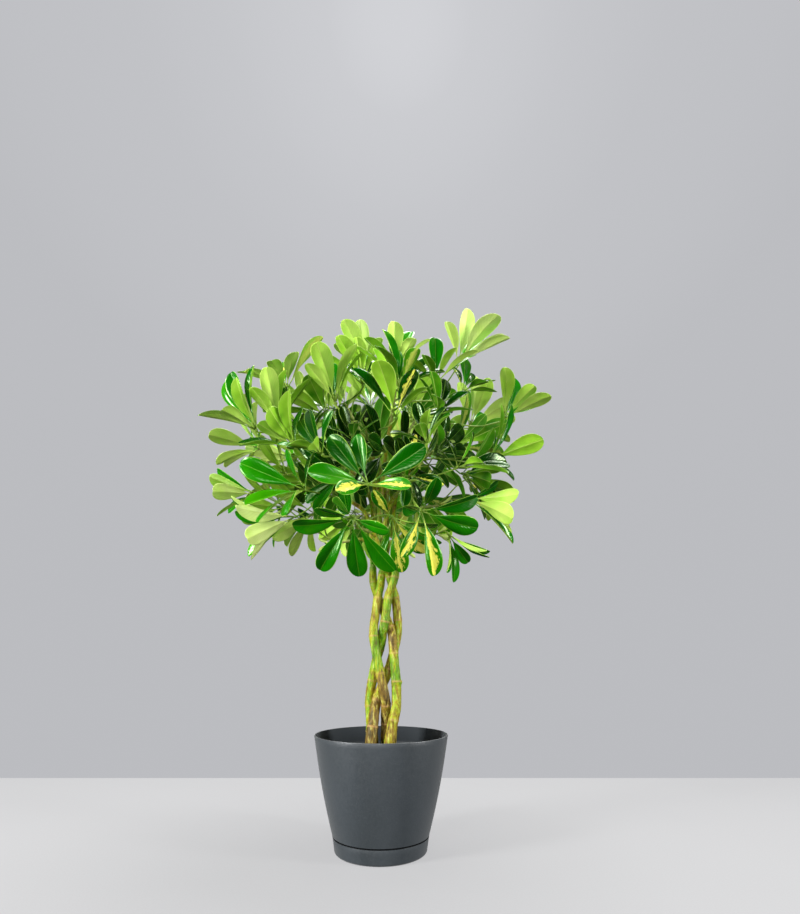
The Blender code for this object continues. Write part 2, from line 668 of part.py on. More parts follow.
def make_pot(made):
    floor = FLOOR + FIT
    seam = SEAM_HEIGHT + SEAM_GROOVE
    profile = [(0, floor), (foot_radius(floor), floor), (foot_radius(seam), seam), (wall_radius(seam), seam)]
    for i in range(1, WALL_STEPS + 1):
        z = seam + (RIM_HEIGHT - EDGE_ROUND - seam) * i / WALL_STEPS
        profile.append((wall_radius(z), z))
    profile.append((wall_radius(RIM_HEIGHT) - EDGE_ROUND, RIM_HEIGHT))
    profile.append((wall_radius(RIM_HEIGHT) - WALL + EDGE_ROUND, RIM_HEIGHT))
    for i in range(WALL_STEPS, 0, -1):
        z = seam + (RIM_HEIGHT - EDGE_ROUND - seam) * i / WALL_STEPS
        profile.append((wall_radius(z) - WALL, z))
    profile.append((foot_radius(seam) - WALL, seam + WALL))
    profile.append((foot_radius(floor) - WALL, floor + WALL))
    profile.append((0, floor + WALL))
    pot = new_object("pot", turned(profile, TURNED_SIDES), made)
    holes = []
    for k in range(DRAIN_HOLES):
        angle = math.pi * (2 * k + 1) / DRAIN_HOLES
        centre = Vector((DRAIN_CIRCLE * math.cos(angle), DRAIN_CIRCLE * math.sin(angle), floor))
        ends = [centre - Vector((0, 0, WALL)), centre + Vector((0, 0, WALL * 2))]
        holes.append(tube(ends, [DRAIN_RADIUS] * 2, SHOOT_SIDES * 2))
    return combined(pot, holes, "DIFFERENCE", "EXACT")


def make_tray(made):
    top = SEAM_HEIGHT
    profile = [(0, 0)]
    for i in range(3):
        angle = math.pi / 4 * i
        inwards = BASE_ROUND * (1 - math.sin(angle))
        profile.append((tray_radius(BASE_ROUND) - inwards, BASE_ROUND * (1 - math.cos(angle))))
    profile += [(tray_radius(top), top), (tray_radius(top) - WALL, top)]
    profile += [(tray_radius(FLOOR) - WALL, FLOOR), (0, FLOOR)]
    return new_object("tray", turned(profile, TURNED_SIDES), made)


def make_soil(stems, made):
    """Soil that fills the pot up to a low, uneven dome, with a hole where each stem stands."""
    rng = random.Random(SEED + 2)
    bottom = FLOOR + WALL + 2 * FIT
    seam = SEAM_HEIGHT + SEAM_GROOVE + WALL
    levels = [bottom, seam] + [seam + (SOIL_HEIGHT - seam) * i / 2 for i in (1, 2)]
    profile = [(0, bottom), (foot_radius(bottom) - WALL - 2 * FIT, bottom)]
    profile.append((foot_radius(SEAM_HEIGHT) - WALL - 2 * FIT, seam))
    profile += [(wall_radius(z) - WALL - 2 * FIT - WALL_SAG, z) for z in levels[2:]]
    edge = profile[-1][0]
    for i in range(SOIL_RINGS - 1, 0, -1):
        share = i / SOIL_RINGS
        profile.append((edge * share, SOIL_HEIGHT + SOIL_DOME * (1 - share ** 2)))
    profile.append((0, SOIL_HEIGHT + SOIL_DOME))
    vertices, faces = turned(profile, TURNED_SIDES)
    for vertex in vertices:
        if vertex.z > SOIL_HEIGHT + SOIL_BUMP / 2:
            vertex.z += rng.uniform(-SOIL_BUMP, SOIL_BUMP)
    soil = new_object("soil", (vertices, faces), made)
    holes = []
    for route in stems:
        points = [point for point in route if point.z < SOIL_HEIGHT + 3 * STEM_STEP]
        points[0] = points[0] + (points[0] - points[1]).normalized() * FIT
        radii = [radius_at(point.z) + HOLE_CLEARANCE for point in points]
        holes.append(tube(points, radii, HOLE_SIDES))
    return combined(soil, holes, "DIFFERENCE", "EXACT")


def make_stem(number, plan, made):
    route = plan.stems[number]
    thicknesses = [radius_at(point.z) for point in route]
    stem = new_object(f"stem_{number + 1}", tube(route, thicknesses, STEM_SIDES), made)
    radii = tapered(LIMB_RADIUS, LIMB_END_RADIUS, LIMB_STEPS)
    limbs = [
        tube(limb, radii, LIMB_SIDES, (shoot[1] - shoot[0]).normalized())
        for owner, limb, shoot in plan.limbs
        if owner == number
    ]
    return combined(stem, limbs, "UNION", "MANIFOLD")


def make_shoot(number, plan, made):
    """One leafy shoot: its twig, and each leaf's stalk, hub and leaflets."""
    radii = tapered(SHOOT_RADIUS, SHOOT_TIP_RADIUS, SHOOT_STEPS)
    shoot = new_object(f"shoot_{number + 1:02d}", tube(plan.limbs[number][2], radii, SHOOT_SIDES), made)
    shapes = []
    for i, leaf in enumerate(plan.leaves):
        if plan.owners[i] == number and plan.stalks[i]:
            shapes.append(whole_leaf(leaf, plan.leaflets[i], plan.stalks[i]))
    return combined(shoot, shapes, "UNION", "MANIFOLD")


def main():
    clear_scene()
    plan = grow_plant()
    pot = make_pot(material("pot plastic", POT_COLOUR, 0.5))
    tray = make_tray(material("tray plastic", POT_COLOUR, 0.5))
    soil = make_soil(plan.stems, material("potting soil", SOIL_COLOUR, 0.95))
    for turned_object in (pot, tray, soil):
        turned_object.data.shade_smooth()
        turned_object.data.set_sharp_from_angle(angle=math.radians(SHARP_ANGLE))
    for number in range(len(plan.stems)):
        make_stem(number, plan, material(f"stem bark {number + 1}", BARK_COLOUR, 0.7))
    for number in range(len(plan.limbs)):
        share = number / len(plan.limbs)
        colour = tuple(a + (b - a) * share for a, b in zip(LEAF_COLOUR, PALE_LEAF_COLOUR))
        make_shoot(number, plan, material(f"foliage {number + 1}", colour, 0.4))


main()
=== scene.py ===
"""The potted umbrella tree in full detail, on a pale studio floor.

Metres, +Z up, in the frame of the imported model. The plan of the plant is the one that its solids follow:
what is finer here grows on the same stems, limbs, shoots, stalks and leaves.
"""

import json
import math
import random
from collections import namedtuple

import bmesh
import bpy
import numpy as np
from mathutils import Matrix, Vector, noise
from mathutils.bvhtree import BVHTree
from mathutils.kdtree import KDTree

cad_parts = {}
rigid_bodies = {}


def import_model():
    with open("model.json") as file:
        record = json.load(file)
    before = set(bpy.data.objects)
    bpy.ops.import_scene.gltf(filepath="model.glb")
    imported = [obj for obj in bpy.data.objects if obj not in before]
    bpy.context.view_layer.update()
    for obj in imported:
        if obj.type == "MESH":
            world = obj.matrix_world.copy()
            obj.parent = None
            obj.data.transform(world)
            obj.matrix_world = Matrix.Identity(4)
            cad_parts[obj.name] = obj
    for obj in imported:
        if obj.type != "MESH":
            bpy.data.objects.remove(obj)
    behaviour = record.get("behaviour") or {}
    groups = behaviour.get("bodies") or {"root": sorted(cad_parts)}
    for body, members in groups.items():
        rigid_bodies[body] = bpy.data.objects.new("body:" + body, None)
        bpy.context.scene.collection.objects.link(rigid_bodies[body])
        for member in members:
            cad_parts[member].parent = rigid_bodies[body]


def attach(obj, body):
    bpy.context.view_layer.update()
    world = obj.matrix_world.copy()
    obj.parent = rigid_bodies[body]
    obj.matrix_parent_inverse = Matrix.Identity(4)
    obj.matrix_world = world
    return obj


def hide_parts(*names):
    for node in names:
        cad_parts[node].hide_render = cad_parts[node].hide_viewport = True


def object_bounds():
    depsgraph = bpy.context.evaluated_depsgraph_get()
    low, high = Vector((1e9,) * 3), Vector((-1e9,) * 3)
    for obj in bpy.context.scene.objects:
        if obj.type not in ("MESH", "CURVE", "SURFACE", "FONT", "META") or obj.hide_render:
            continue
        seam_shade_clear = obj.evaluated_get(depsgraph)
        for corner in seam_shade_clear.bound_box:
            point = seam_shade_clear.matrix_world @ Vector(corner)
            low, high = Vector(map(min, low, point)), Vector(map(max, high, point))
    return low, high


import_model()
cad_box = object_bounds()

# Pot and tray
RIM_RADIUS = 0.1175
RIM_HEIGHT = 0.197
WALL = 0.0026
WALL_BOW = 0.0027
EDGE_ROUND = 0.0008
SEAM_HEIGHT = 0.0275
SEAM_RADIUS = 0.0835
SEAM_GROOVE = 0.0013
BASE_RADIUS = 0.0795
BASE_ROUND = 0.005
FLOOR = 0.003
FIT = 0.0003
DRAIN_HOLES = 4
DRAIN_RADIUS = 0.005
DRAIN_CIRCLE = 0.045

# Soil
SOIL_HEIGHT = 0.160
SOIL_DOME = 0.004
HOLE_CLEARANCE = 0.0008

# Plaited stems: each route lists (x, y, z) in millimetres, from the soil to the fork
STEM_FOOT = 0.095
STEM_ROUTES = (
    ((6, 11, 184), (9, 8, 218), (7, 2, 238), (2, -7, 256), (-1, -8, 291), (-7, -8, 326), (-10, -7, 362),
     (-10, -3, 398), (-8, -7, 435), (-4, -7, 453), (-1, -2, 472), (6, 8, 500)),
    ((-12, 13, 184), (-14, 11, 218), (-16, 9, 256), (-15, 8, 291), (-10, 11, 326), (-4, 11, 344), (3, 6, 362),
     (5, -6, 380), (5, -9, 398), (12, -8, 435), (14, -8, 453), (19, -8, 472), (25, -6, 500)),
    ((12, -10, 184), (17, -8, 218), (25, -6, 245), (30, -5, 275), (28, -6, 300), (21, -7, 326), (17, -2, 362),
     (13, 6, 380), (9, 10, 398), (4, 11, 416), (-4, 11, 435), (-13, 8, 453), (-15, 3, 475), (-17, 2, 500)),
    ((-20, -11, 184), (-16, -8, 218), (-9, 7, 256), (0, 10, 280), (9, 10, 300), (16, 12, 326), (27, 15, 362),
     (30, 12, 398), (27, 8, 435), (21, 8, 455), (12, 8, 472), (3, 0, 487), (2, -11, 500)),
)
STEM_RADII = ((0.095, 0.0112), (0.184, 0.0110), (0.215, 0.0094), (0.260, 0.0087), (0.350, 0.0082),
              (0.430, 0.0078), (0.480, 0.0070), (0.500, 0.0064))
STEM_STEP = 0.0160
STEM_SIDES = 7
STEM_GAP = 0.0014
STEM_OWNER = -1
FOOT_SPREAD = 0.0022
SPREADING_ROUNDS = 120
POINTS_PER_STEP = 3

# Limbs, from each stem's fork to the shoots: turn from the stem's sector, then the distance from the crown's
# axis and the height at which the shoot starts, and the tilt at which it leaves
STEM_SECTORS = (180.0, 90.0, 270.0, 0.0)
SHOOTS_PER_STEM = (
    (-24.0, 0.048, 0.552, -4.0),
    (22.0, 0.060, 0.612, 12.0),
    (-14.0, 0.062, 0.684, 34.0),
    (20.0, 0.046, 0.752, 60.0),
)
LIMB_SIDES = 5
LIMB_STEPS = 5
LIMB_RADIUS = 0.0050
LIMB_END_RADIUS = 0.0034
LIMB_SINK = 0.007
LIMB_UPRIGHT = 2.5
LIMB_BEND = 0.35
SHOOT_LENGTH = 0.055
SHOOT_RADIUS = 0.0031
SHOOT_TIP_RADIUS = 0.0018
SHOOT_SIDES = 6
SHOOT_STEPS = 3
FEWEST_LEAVES_PER_SHOOT = 2
MOST_LEAVES_PER_SHOOT = 6
FAR_LEAF = 0.16

# Leaves: a stalk, a hub, and leaflets round it
STALK_RADIUS = 0.0013
STALK_SIDES = 3
STALK_STEPS = 4
STALK_BEND = 0.35
STALK_ARRIVAL = 1.5
STALK_SAG = 0.6
STALK_SPACING = 0.15
STALK_PUSH = 0.0011
HUB_RADIUS = 0.0032
HUB_DEPTH = 0.0040
RIB_THICKNESS = 0.0015
LEAFLET_FOOT = 0.14
FOOT_HALF_WIDTH = 0.0012
WIDTH_SHARE = 0.176
BROADEST = 1.72
ROUNDNESS = 0.56
SOURCE_STATIONS = (0.0, 0.14, 0.54, 0.88)
ARCH = 24.0
FOLD = 14.0
LEAF_GAP = 0.0008
TRIES = 40
TRIES_ALONE = 26
LEAST_TURN = 24.0
LEAST_SPREAD = 16.0
SWING = 2.0
SWING_ADDED = 24.0
SPREADS_ADDED = (-30.0, 22.0)
SHORTENING = 0.30
LENGTH_SHARES = (0.97, 1.03)
ROLL = 16.0
ARCH_SHARES = (0.6, 1.3)
SEED = 11

# Leaves placed as they look from VIEWPOINT, at the front. Each row has the hub (x, y, z) and the longest
# leaflet's length, then (x, z) of the tips that lean towards VIEWPOINT and of those that lean away from it,
# where they are seen at the hub's y. All are in millimetres.
VIEWPOINT = Vector((0.033, -1.012, 0.329))
PLACED_LEAVES = (
    ((-215, -90, 720), 115, ((-315, 745), (-275, 755), (-325, 790), (-255, 815)), ()),
    ((-175, -90, 720), 110, ((-220, 800), (-125, 810)), ((-165, 795),)),
    ((-175, -40, 820), 110, ((-205, 880), (-160, 890), (-105, 915), (-250, 850)), ((-185, 875),)),
    ((-75, -120, 755), 108, ((-135, 815), (-50, 860)), ((-80, 820), (-110, 825))),
    ((-30, 0, 875), 108, ((-75, 975), (-45, 980), (-10, 940), (-95, 920)), ()),
    ((20, -40, 850), 108, ((25, 955), (60, 915), (-10, 905)), ((35, 910),)),
    ((95, -90, 805), 100, ((75, 850), (130, 865), (40, 850)), ((100, 900),)),
    ((145, 0, 890), 120, ((125, 975), (160, 1005), (220, 995), (245, 935)), ((180, 965),)),
    ((145, -70, 800), 92, ((185, 820), (190, 845), (200, 800), (205, 860)), ((125, 850),)),
    ((95, -130, 730), 98, ((150, 735), (95, 755)), ((110, 790), (145, 765), (140, 745))),
    ((25, -140, 720), 108, ((75, 775),), ((-50, 800), (55, 810), (5, 810))),
    ((230, 0, 780), 102, ((290, 845), (320, 830), (305, 805)), ((240, 865),)),
    ((195, -40, 685), 106, ((295, 725), (270, 695), (260, 660)), ((205, 735),)),
    ((130, -100, 650), 98, ((215, 630), (180, 670), (170, 705)), ((110, 700),)),
    ((155, -50, 610), 104, ((250, 610), (250, 580), (245, 550)), ((200, 640),)),
    ((65, -175, 555), 104, ((35, 560), (85, 605), (35, 485)), ((150, 575), (155, 530), (90, 455))),
    ((-40, -175, 545), 106, ((-95, 565), (-75, 585), (15, 525)),
     ((-125, 530), (-90, 465), (-25, 455), (25, 470))),
    ((-15, -195, 590), 100, ((-65, 575), (50, 590), (-110, 612)), ((-75, 660), (-35, 668), (70, 645))),
    ((-120, -135, 600), 112, ((-215, 620), (-150, 665)), ((-225, 650), (-110, 660))),
    ((-150, -60, 575), 108, ((-250, 540), (-265, 600)), ((-260, 575),)),
    ((-225, -30, 625), 98, ((-315, 630), (-305, 665)), ((-275, 595),)),
    ((-140, -125, 675), 100, ((-200, 715),), ((-235, 677), (-135, 745))),
    ((-90, -160, 650), 92, ((-160, 655), (-75, 720)), ((-130, 705),)),
    ((-130, -70, 710), 80, ((-160, 745), (-125, 770)), ((-95, 765),)),
    ((115, -80, 540), 92, ((120, 475), (170, 490)), ((145, 490),)),
    ((75, -165, 665), 80, ((20, 685), (35, 715)), ((60, 730),)),
    ((-45, -130, 685), 82, ((-85, 710), (0, 715)), ((-65, 740), (-25, 735))),
    ((20, -115, 560), 92, ((38, 470), (-8, 480)), ((75, 500), (5, 620))),
    ((40, -120, 630), 92, ((100, 610), (0, 640)), ((60, 700),)),
)

# How long a placed leaflet is for the length that is seen, and which way its leaf faces
LENGTH_PER_SEEN = 1.08
LEAST_LENGTH_SHARE = 0.72
OUTWARD_SHARE = 0.7
UP_SHARE = 1.4
SIDEWAYS_BELOW = 0.60
UPWARDS_ABOVE = 0.76
NARROWEST = 22.0
WIDEST = 90.0

# The other leaves follow a spiral over this ellipsoid, wherever no placed leaf is near. It leans up towards
# +X, is broader at its top, and is less deep at the front, behind the placed leaves.
CROWN_CENTRE = Vector((-0.005, 0.0, 0.712))
CROWN_RADII = Vector((0.230, 0.220, 0.152))
CROWN_LEAN = 0.12
CROWN_TAPER = 0.14
SPIRAL_STEPS = 120
SPIRAL_LOWEST = -0.75
SPIRAL_DEPTHS = (1.0, 0.66, 0.92, 0.42, 0.82)
SPIRAL_FRONT = 0.70
HUB_SPACING = 0.063
SPIRAL_LEAFLETS = (4, 5, 4, 4)
SPIRAL_SPREAD = 50.0
SPIRAL_SPREAD_FALL = 12.0
SPIRAL_REACH = 0.100
SPIRAL_REACHES = (0.92, 1.04)
SPIRAL_TILT = 25.0
SPIRAL_TILT_RISE = 50.0
TILT_SWAY = 8.0
SPREAD_SWAY = 6.0
AIM_SWAY = 4.0
TURN_SWAY = 0.15

# Fine pot and tray
FINE_SIDES = 144
SHARP_ANGLE = 30.0
FINE_WALL_STEPS = 20
ARC_STEPS = 4
HOLE_FINE_SIDES = 48
TRAY_MIDDLE = 0.6

# Fine soil, with bark chips and grains of perlite on it
SOIL_FINE_RINGS = 36
SOIL_FINE_SIDES = 120
SOIL_ROUGHNESS = 0.0011
SOIL_LUMPS = ((45, 0.3, 1.0), (150, 0.7, 0.6), (420, 0.1, 0.5))
SOIL_EDGE_POWER = 8
CHIPS = 460
CHIP_SIZES = ((0.0032, 0.0060), (0.0020, 0.0034), (0.0011, 0.0020))
CHIP_CORNERS = (0.78, 1.12)
CHIP_TURN = 6.28
CHIP_TILT = 0.5
CHIP_RISE = 0.35
CHIP_ROOM = 0.004
PERLITE_SHARE = 0.10
PERLITE_SIZE = 0.5
SOIL_MATERIAL = 0
CHIP_MATERIAL = 1
PERLITE_MATERIAL = 2

# Fine stems: the heights of the leaf scars on each, and the tone of the bark below each and above the last,
# from 0 for tan cork to 1 for green
BARK_STEP = 0.0018
BARK_SIDES = 28
LIMB_FINE_STEP = 0.0022
LIMB_FINE_SIDES = 16
SCARS = (
    (0.2150, 0.2490, 0.3030, 0.3690, 0.4376, 0.4780),
    (0.2000, 0.2450, 0.2900, 0.3450, 0.3950, 0.4376, 0.4755),
    (0.2220, 0.2886, 0.3390, 0.3850, 0.4300, 0.4700),
    (0.2100, 0.2550, 0.3100, 0.3600, 0.4000, 0.4400, 0.4800),
)
TONES = (
    (0.10, 0.26, 0.16, 0.84, 0.56, 0.70, 0.80),
    (0.15, 0.80, 0.60, 0.55, 0.90, 0.74, 0.70, 0.85),
    (0.44, 0.54, 0.84, 0.20, 0.55, 0.66, 0.80),
    (0.08, 0.20, 0.45, 0.60, 0.62, 0.40, 0.70, 0.80),
)
SCAR_SWELL = 0.08
TONE_BLEND = 0.012
SCAR_WIDTH = 0.0012
SCAR_STRENGTHS = (0.55, 1.0)
SCAR_COLOUR_REACH = 0.8
WAIST = 0.035
WAIST_REACH = 0.02
LUMPS = 0.06
LUMP_SCALE = 120
FINE_LUMPS = 0.45
FINE_LUMP_SCALE = 420
LUMP_SHIFT = 9
FORK_END = 0.05
KNOB_STEM = 2
KNOB_HEIGHT = 0.2870
KNOB_SIZE = 0.0021
KNOB_WIDTH = 0.0042
LIMB_SCARS = (0.016, 0.026)
LIMB_SCAR_STRENGTH = 0.7
LIMB_TONE = 0.86
LIMB_TONE_FALL = 0.25

# Fine leaves, whose shoots have four materials
UPPER_MATERIAL = 0
UNDERSIDE_MATERIAL = 1
STALK_MATERIAL = 2
TWIG_MATERIAL = 3
STATIONS = (0.0, 0.05, 0.09, 0.125, 0.15, 0.18, 0.215, 0.26, 0.32, 0.385, 0.45, 0.52, 0.59, 0.66, 0.73, 0.795,
            0.855, 0.905, 0.945, 0.975, 0.993)
ACROSS = (-1.0, -0.95, -0.76, -0.50, -0.24, -0.07, 0.0, 0.07, 0.24, 0.50, 0.76, 0.95, 1.0)
STALK_ENDS_AT = 0.125
STALK_BLEND = 0.02
BLADE_STARTS_AT = 0.24
BLADE_WIDENS = (-0.25, 0.35)
BLADE_THICKNESS = 0.0006
EDGE_POWER = 6
FINE_BROADEST = 1.85
FINE_ROUNDNESS = 0.50
STALKLET_RADIUS = 0.00105
MIDRIB_DEPTH = 0.0007
MIDRIB_WIDTH = 0.0011
MIDRIB_FADE = 0.6
GROOVE_DEPTH = 0.00012
USUAL_LENGTH = 0.09
USUAL_HALF_WIDTH = 0.016
FOLDS = (8.0, 34.0)
FOLD_SOFTNESS = 0.012
FOLD_DROP = 0.11
TWIST = 10.0
WAVES = (0.0003, 0.0011)
WAVES_ALONG = 9.5
CURLS = (0.0, 0.12)
CURL_POWER = 4
DOMES = (0.07, 0.17)
DOME_POWER = 0.8
BEAD_SIDES = 12
BEAD_STEPS = 8
BEAD_CUT = 0.03
STALK_FINE_STEPS = 18
STALK_FINE_SIDES = 10
STALK_BASE_RADIUS = 0.0020
STALK_BASE_SHARE = 7
STALK_TOP_RADIUS = 0.0016
STALK_TOP_POWER = 6
FINE_HUB_SHARES = (0.92, 0.8)
FINE_HUB_SINK = 0.0004
TWIG_STEP = 0.0012
TWIG_SINK = 0.0012
TWIG_SIDES = 14
TWIG_SCARS = (0.12, 0.30, 0.47, 0.62, 0.76, 0.88)
TWIG_SCAR_SWELL = 0.22
TWIG_END = 0.004
BUD_LEAFLETS = 4
BUD_SPREAD = 22.0
BUD_REACH = 0.030
BUD_FOLDS = (38.0, 60.0)
BUD_TONE = 0.9

# More leaflets, in the gaps of the leaves that have few: as long as the others or a little shorter
MOST_LEAFLETS = (8, 9, 9)
MOST_PLACED_LEAFLETS = 6
EXTRA_TRIES = 36
WIDEST_GAPS = 3
EXTRA_TURN = 18.0
EXTRA_LIFT = 17.0
EXTRA_LENGTHS = (0.88, 1.06)

# Leaflets with these tips (x, z) at the front, in millimetres, are splashed with yellow, as are some others
GOLD_TIPS = ((90, 455), (35, 485), (-215, 620), (-110, 612), (50, 590), (-65, 575), (55, 810), (170, 705),
             (250, 580), (-10, 940), (130, 865))
GOLD_TIP_RADIUS = 0.018
GOLD_TIP_AMOUNTS = (0.40, 0.62)
GOLD_LEAVES = 0.16
GOLD_LEAFLETS = 0.50
GOLD_AMOUNTS = (0.35, 0.95)

# How pale a leaf is: painted shade by how far out it is on the way from the crown's centre to its outside,
# then painted light by how high it is and how far to the right, and last by chance, for the whole leaf and
# for each leaflet
REACH_BEYOND = 0.070
SHADE_TONES_BY_OUTNESS = ((0.35, 0.0), (0.62, 0.24), (0.85, 0.52), (1.05, 0.72))
TOP_LIGHT_TONE = 1.0
SIDE_LIGHT_TONE = -0.45
LEAF_TONE = 0.10
LEAFLET_TONE = 0.12
TONE_PLACE = 0.6

# Studio
CAMERA_TILT = 7.2
NEAREST_SEEN = 0.02
FRAME_HEIGHT = 914
FOCAL_PIXELS = 558
HORIZON_PIXEL = 588
SENSOR = 36.0
FLOOR_BACK = 0.59
FLOOR_FRONT = -3.2
FLOOR_SIDE = 3.2
FLOOR_GLOW = 0.70

# The wall's grey, from 0 to 255, by how nearly one looks towards its palest place, and how strongly the wall
# lights the plant and shows in what is glossy
WALL_GLOW_WAY = (0.0, 0.607, 0.795)
WALL_GREYS = ((0.70, 186), (0.85, 187), (0.90, 190), (0.95, 192), (0.978, 196), (0.996, 202), (1.0, 208))
WALL_TINT = (0, 1, 5)
AMBIENT = 0.22
MIRRORED_AMBIENT = 0.03

# Soft boxes: the name, where each hangs, the height on the plant's axis that it faces, its sides, its power
LAMPS = (
    ("key", (-2.25, -1.35, 1.20), 0.60, 0.45, 1.9, 140.0),
    ("fill", (2.3, -0.9, 1.1), 0.60, 0.32, 1.7, 70.0),
    ("top", (0.20, 0.30, 2.7), 0.70, 1.3, 1.3, 85.0),
    ("low", (-0.30, -2.9, 0.55), 0.75, 2.2, 0.5, 40.0),
)


Aim = namedtuple("Aim", "turn spread length")
Leaf = namedtuple("Leaf", "hub facing up aims")
Leaflet = namedtuple("Leaflet", "root along face length half_width arch fold turn")
Body = namedtuple("Body", "tree centre radius owner leaf")
Plan = namedtuple("Plan", "stems limbs leaves owners stalks leaflets")


def smooth(points, share):
    """A point on the smooth curve through the points, share of the way from first to last."""
    last = len(points) - 2
    place = min(max(share, 0.0), 1.0) * (len(points) - 1)
    start = min(int(place), last)
    t = place - start
    p1, p2 = points[start], points[start + 1]
    p0 = points[start - 1] if start else p1 * 2 - p2
    p3 = points[start + 2] if start < last else p2 * 2 - p1
    return 0.5 * (p1 * 2 + (p2 - p0) * t + (p0 * 2 - p1 * 5 + p2 * 4 - p3) * t * t
                  + (p1 * 3 - p0 - p2 * 3 + p3) * t ** 3)


def bezier(p0, p1, p2, p3, steps):
    """Points on the curve from p0 to p3 that leaves towards p1 and arrives from p2."""
    points = []
    for i in range(steps + 1):
        t = i / steps
        s = 1 - t
        points.append(p0 * s ** 3 + p1 * (3 * s * s * t) + p2 * (3 * s * t * t) + p3 * t ** 3)
    return points


def heading(turn, tilt):
    """The way that something faces: turn 0 is the front, 90 is +X, and tilt is up."""
    turn = math.radians(turn)
    tilt = math.radians(tilt)
    return Vector((math.sin(turn) * math.cos(tilt), -math.cos(turn) * math.cos(tilt), math.sin(tilt)))


def radius_at(z):
    for (z0, r0), (z1, r1) in zip(STEM_RADII, STEM_RADII[1:]):
        if z <= z1:
            return r0 + (r1 - r0) * max(z - z0, 0.0) / (z1 - z0)
    return STEM_RADII[-1][1]


def tube(points, radii, sides, last_way=None):
    """A closed tube round the points, which may end square to a given way: vertices and faces."""
    count = len(points)
    vertices, faces = [], []
    side = None
    for i, point in enumerate(points):
        ahead = (points[min(i + 1, count - 1)] - points[max(i - 1, 0)]).normalized()
        if last_way and i == count - 1:
            ahead = last_way
        if side is None:
            side = ahead.orthogonal().normalized()
        side = (side - ahead * side.dot(ahead)).normalized()
        other = ahead.cross(side)
        for k in range(sides):
            angle = 2 * math.pi * k / sides
            vertices.append(point + (side * math.cos(angle) + other * math.sin(angle)) * radii[i])
    for i in range(count - 1):
        for k in range(sides):
            a, b = i * sides + k, i * sides + (k + 1) % sides
            faces.append((a, b, b + sides, a + sides))
    faces.append(tuple(reversed(range(sides))))
    faces.append(tuple(range((count - 1) * sides, count * sides)))
    return vertices, faces


def half_width_at(leaflet, s):
    if s <= LEAFLET_FOOT:
        return FOOT_HALF_WIDTH
    t = (s - LEAFLET_FOOT) / (1 - LEAFLET_FOOT)
    blade = leaflet.half_width * max(math.sin(math.pi * t ** BROADEST), 0.0) ** ROUNDNESS
    return max(blade, FOOT_HALF_WIDTH * (1 - t))


def rib_at(leaflet, s, length):
    """A point on the arched rib of a leaflet of this length, s of the way from its root to its tip."""
    arch = math.radians(leaflet.arch)
    bent = arch * s
    reach = length / arch
    ahead = leaflet.along * (math.sin(bent) * reach)
    return leaflet.root + ahead - leaflet.face * ((1 - math.cos(bent)) * reach)


def blade(leaflet, stations, grow=0.0):
    """A folded, arched leaflet with a thick rib and thin edges. A grown one keeps others clear."""
    along, face = leaflet.along, leaflet.face
    side = along.cross(face)
    fold = math.radians(leaflet.fold)
    length = leaflet.length + grow
    vertices, faces = [], []
    for s in stations:
        bent = math.radians(leaflet.arch) * s
        rib = rib_at(leaflet, s, length)
        up = face * math.cos(bent) + along * math.sin(bent)
        half = half_width_at(leaflet, s) + grow
        thick = up * (RIB_THICKNESS / 2 + grow)
        edge = side * (half * math.cos(fold))
        lift = up * (half * math.sin(fold))
        vertices += [rib - edge + lift, rib + thick, rib + edge + lift, rib - thick]
    vertices.append(rib_at(leaflet, 1.0, length))
    tip = len(vertices) - 1
    faces += [(0, 1, 3), (1, 2, 3)]
    for i in range(len(stations) - 1):
        a, b = 4 * i, 4 * i + 4
        faces += [(a, b, b + 1), (a, b + 1, a + 1), (a + 2, a + 1, b + 1), (a + 2, b + 1, b + 2)]
        faces += [(a, b + 3, b), (a, a + 3, b + 3), (a + 2, b + 3, a + 3), (a + 2, b + 2, b + 3)]
    end = tip - 4
    faces += [(end, tip, end + 1), (end + 1, tip, end + 2), (end + 2, tip, end + 3), (end + 3, tip, end)]
    return vertices, faces


def turn_about(leaf, way):
    """The turn of a way round the leaf's hub, clockwise from its up, as seen from where it faces."""
    return math.degrees(math.atan2(way.dot(leaf.up.cross(leaf.facing)), way.dot(leaf.up))) % 360


def turn_between(leaflet, other):
    return abs((leaflet.turn - other.turn + 180) % 360 - 180)


def ring_way(leaf, turn, spread):
    """The way at this turn round the leaf's hub, spread by this much from the way that the leaf faces."""
    turn = math.radians(turn)
    spread = math.radians(spread)
    out = leaf.up * math.cos(turn) + leaf.up.cross(leaf.facing) * math.sin(turn)
    return leaf.facing * math.cos(spread) + out * math.sin(spread)


def body_of(shape, owner, leaf=None):
    vertices, faces = shape
    centre = sum(vertices, Vector()) / len(vertices)
    radius = max((vertex - centre).length for vertex in vertices)
    return Body(BVHTree.FromPolygons(vertices, faces), centre, radius, owner, leaf)


def touches(body, bodies, alone=False):
    """Whether the body meets another node's or, when it should stand alone, any but its own leaf's."""
    return any(
        (other.leaf != body.leaf if alone else other.owner != body.owner)
        and (body.centre - other.centre).length < body.radius + other.radius
        and body.tree.overlap(other.tree)
        for other in bodies
    )


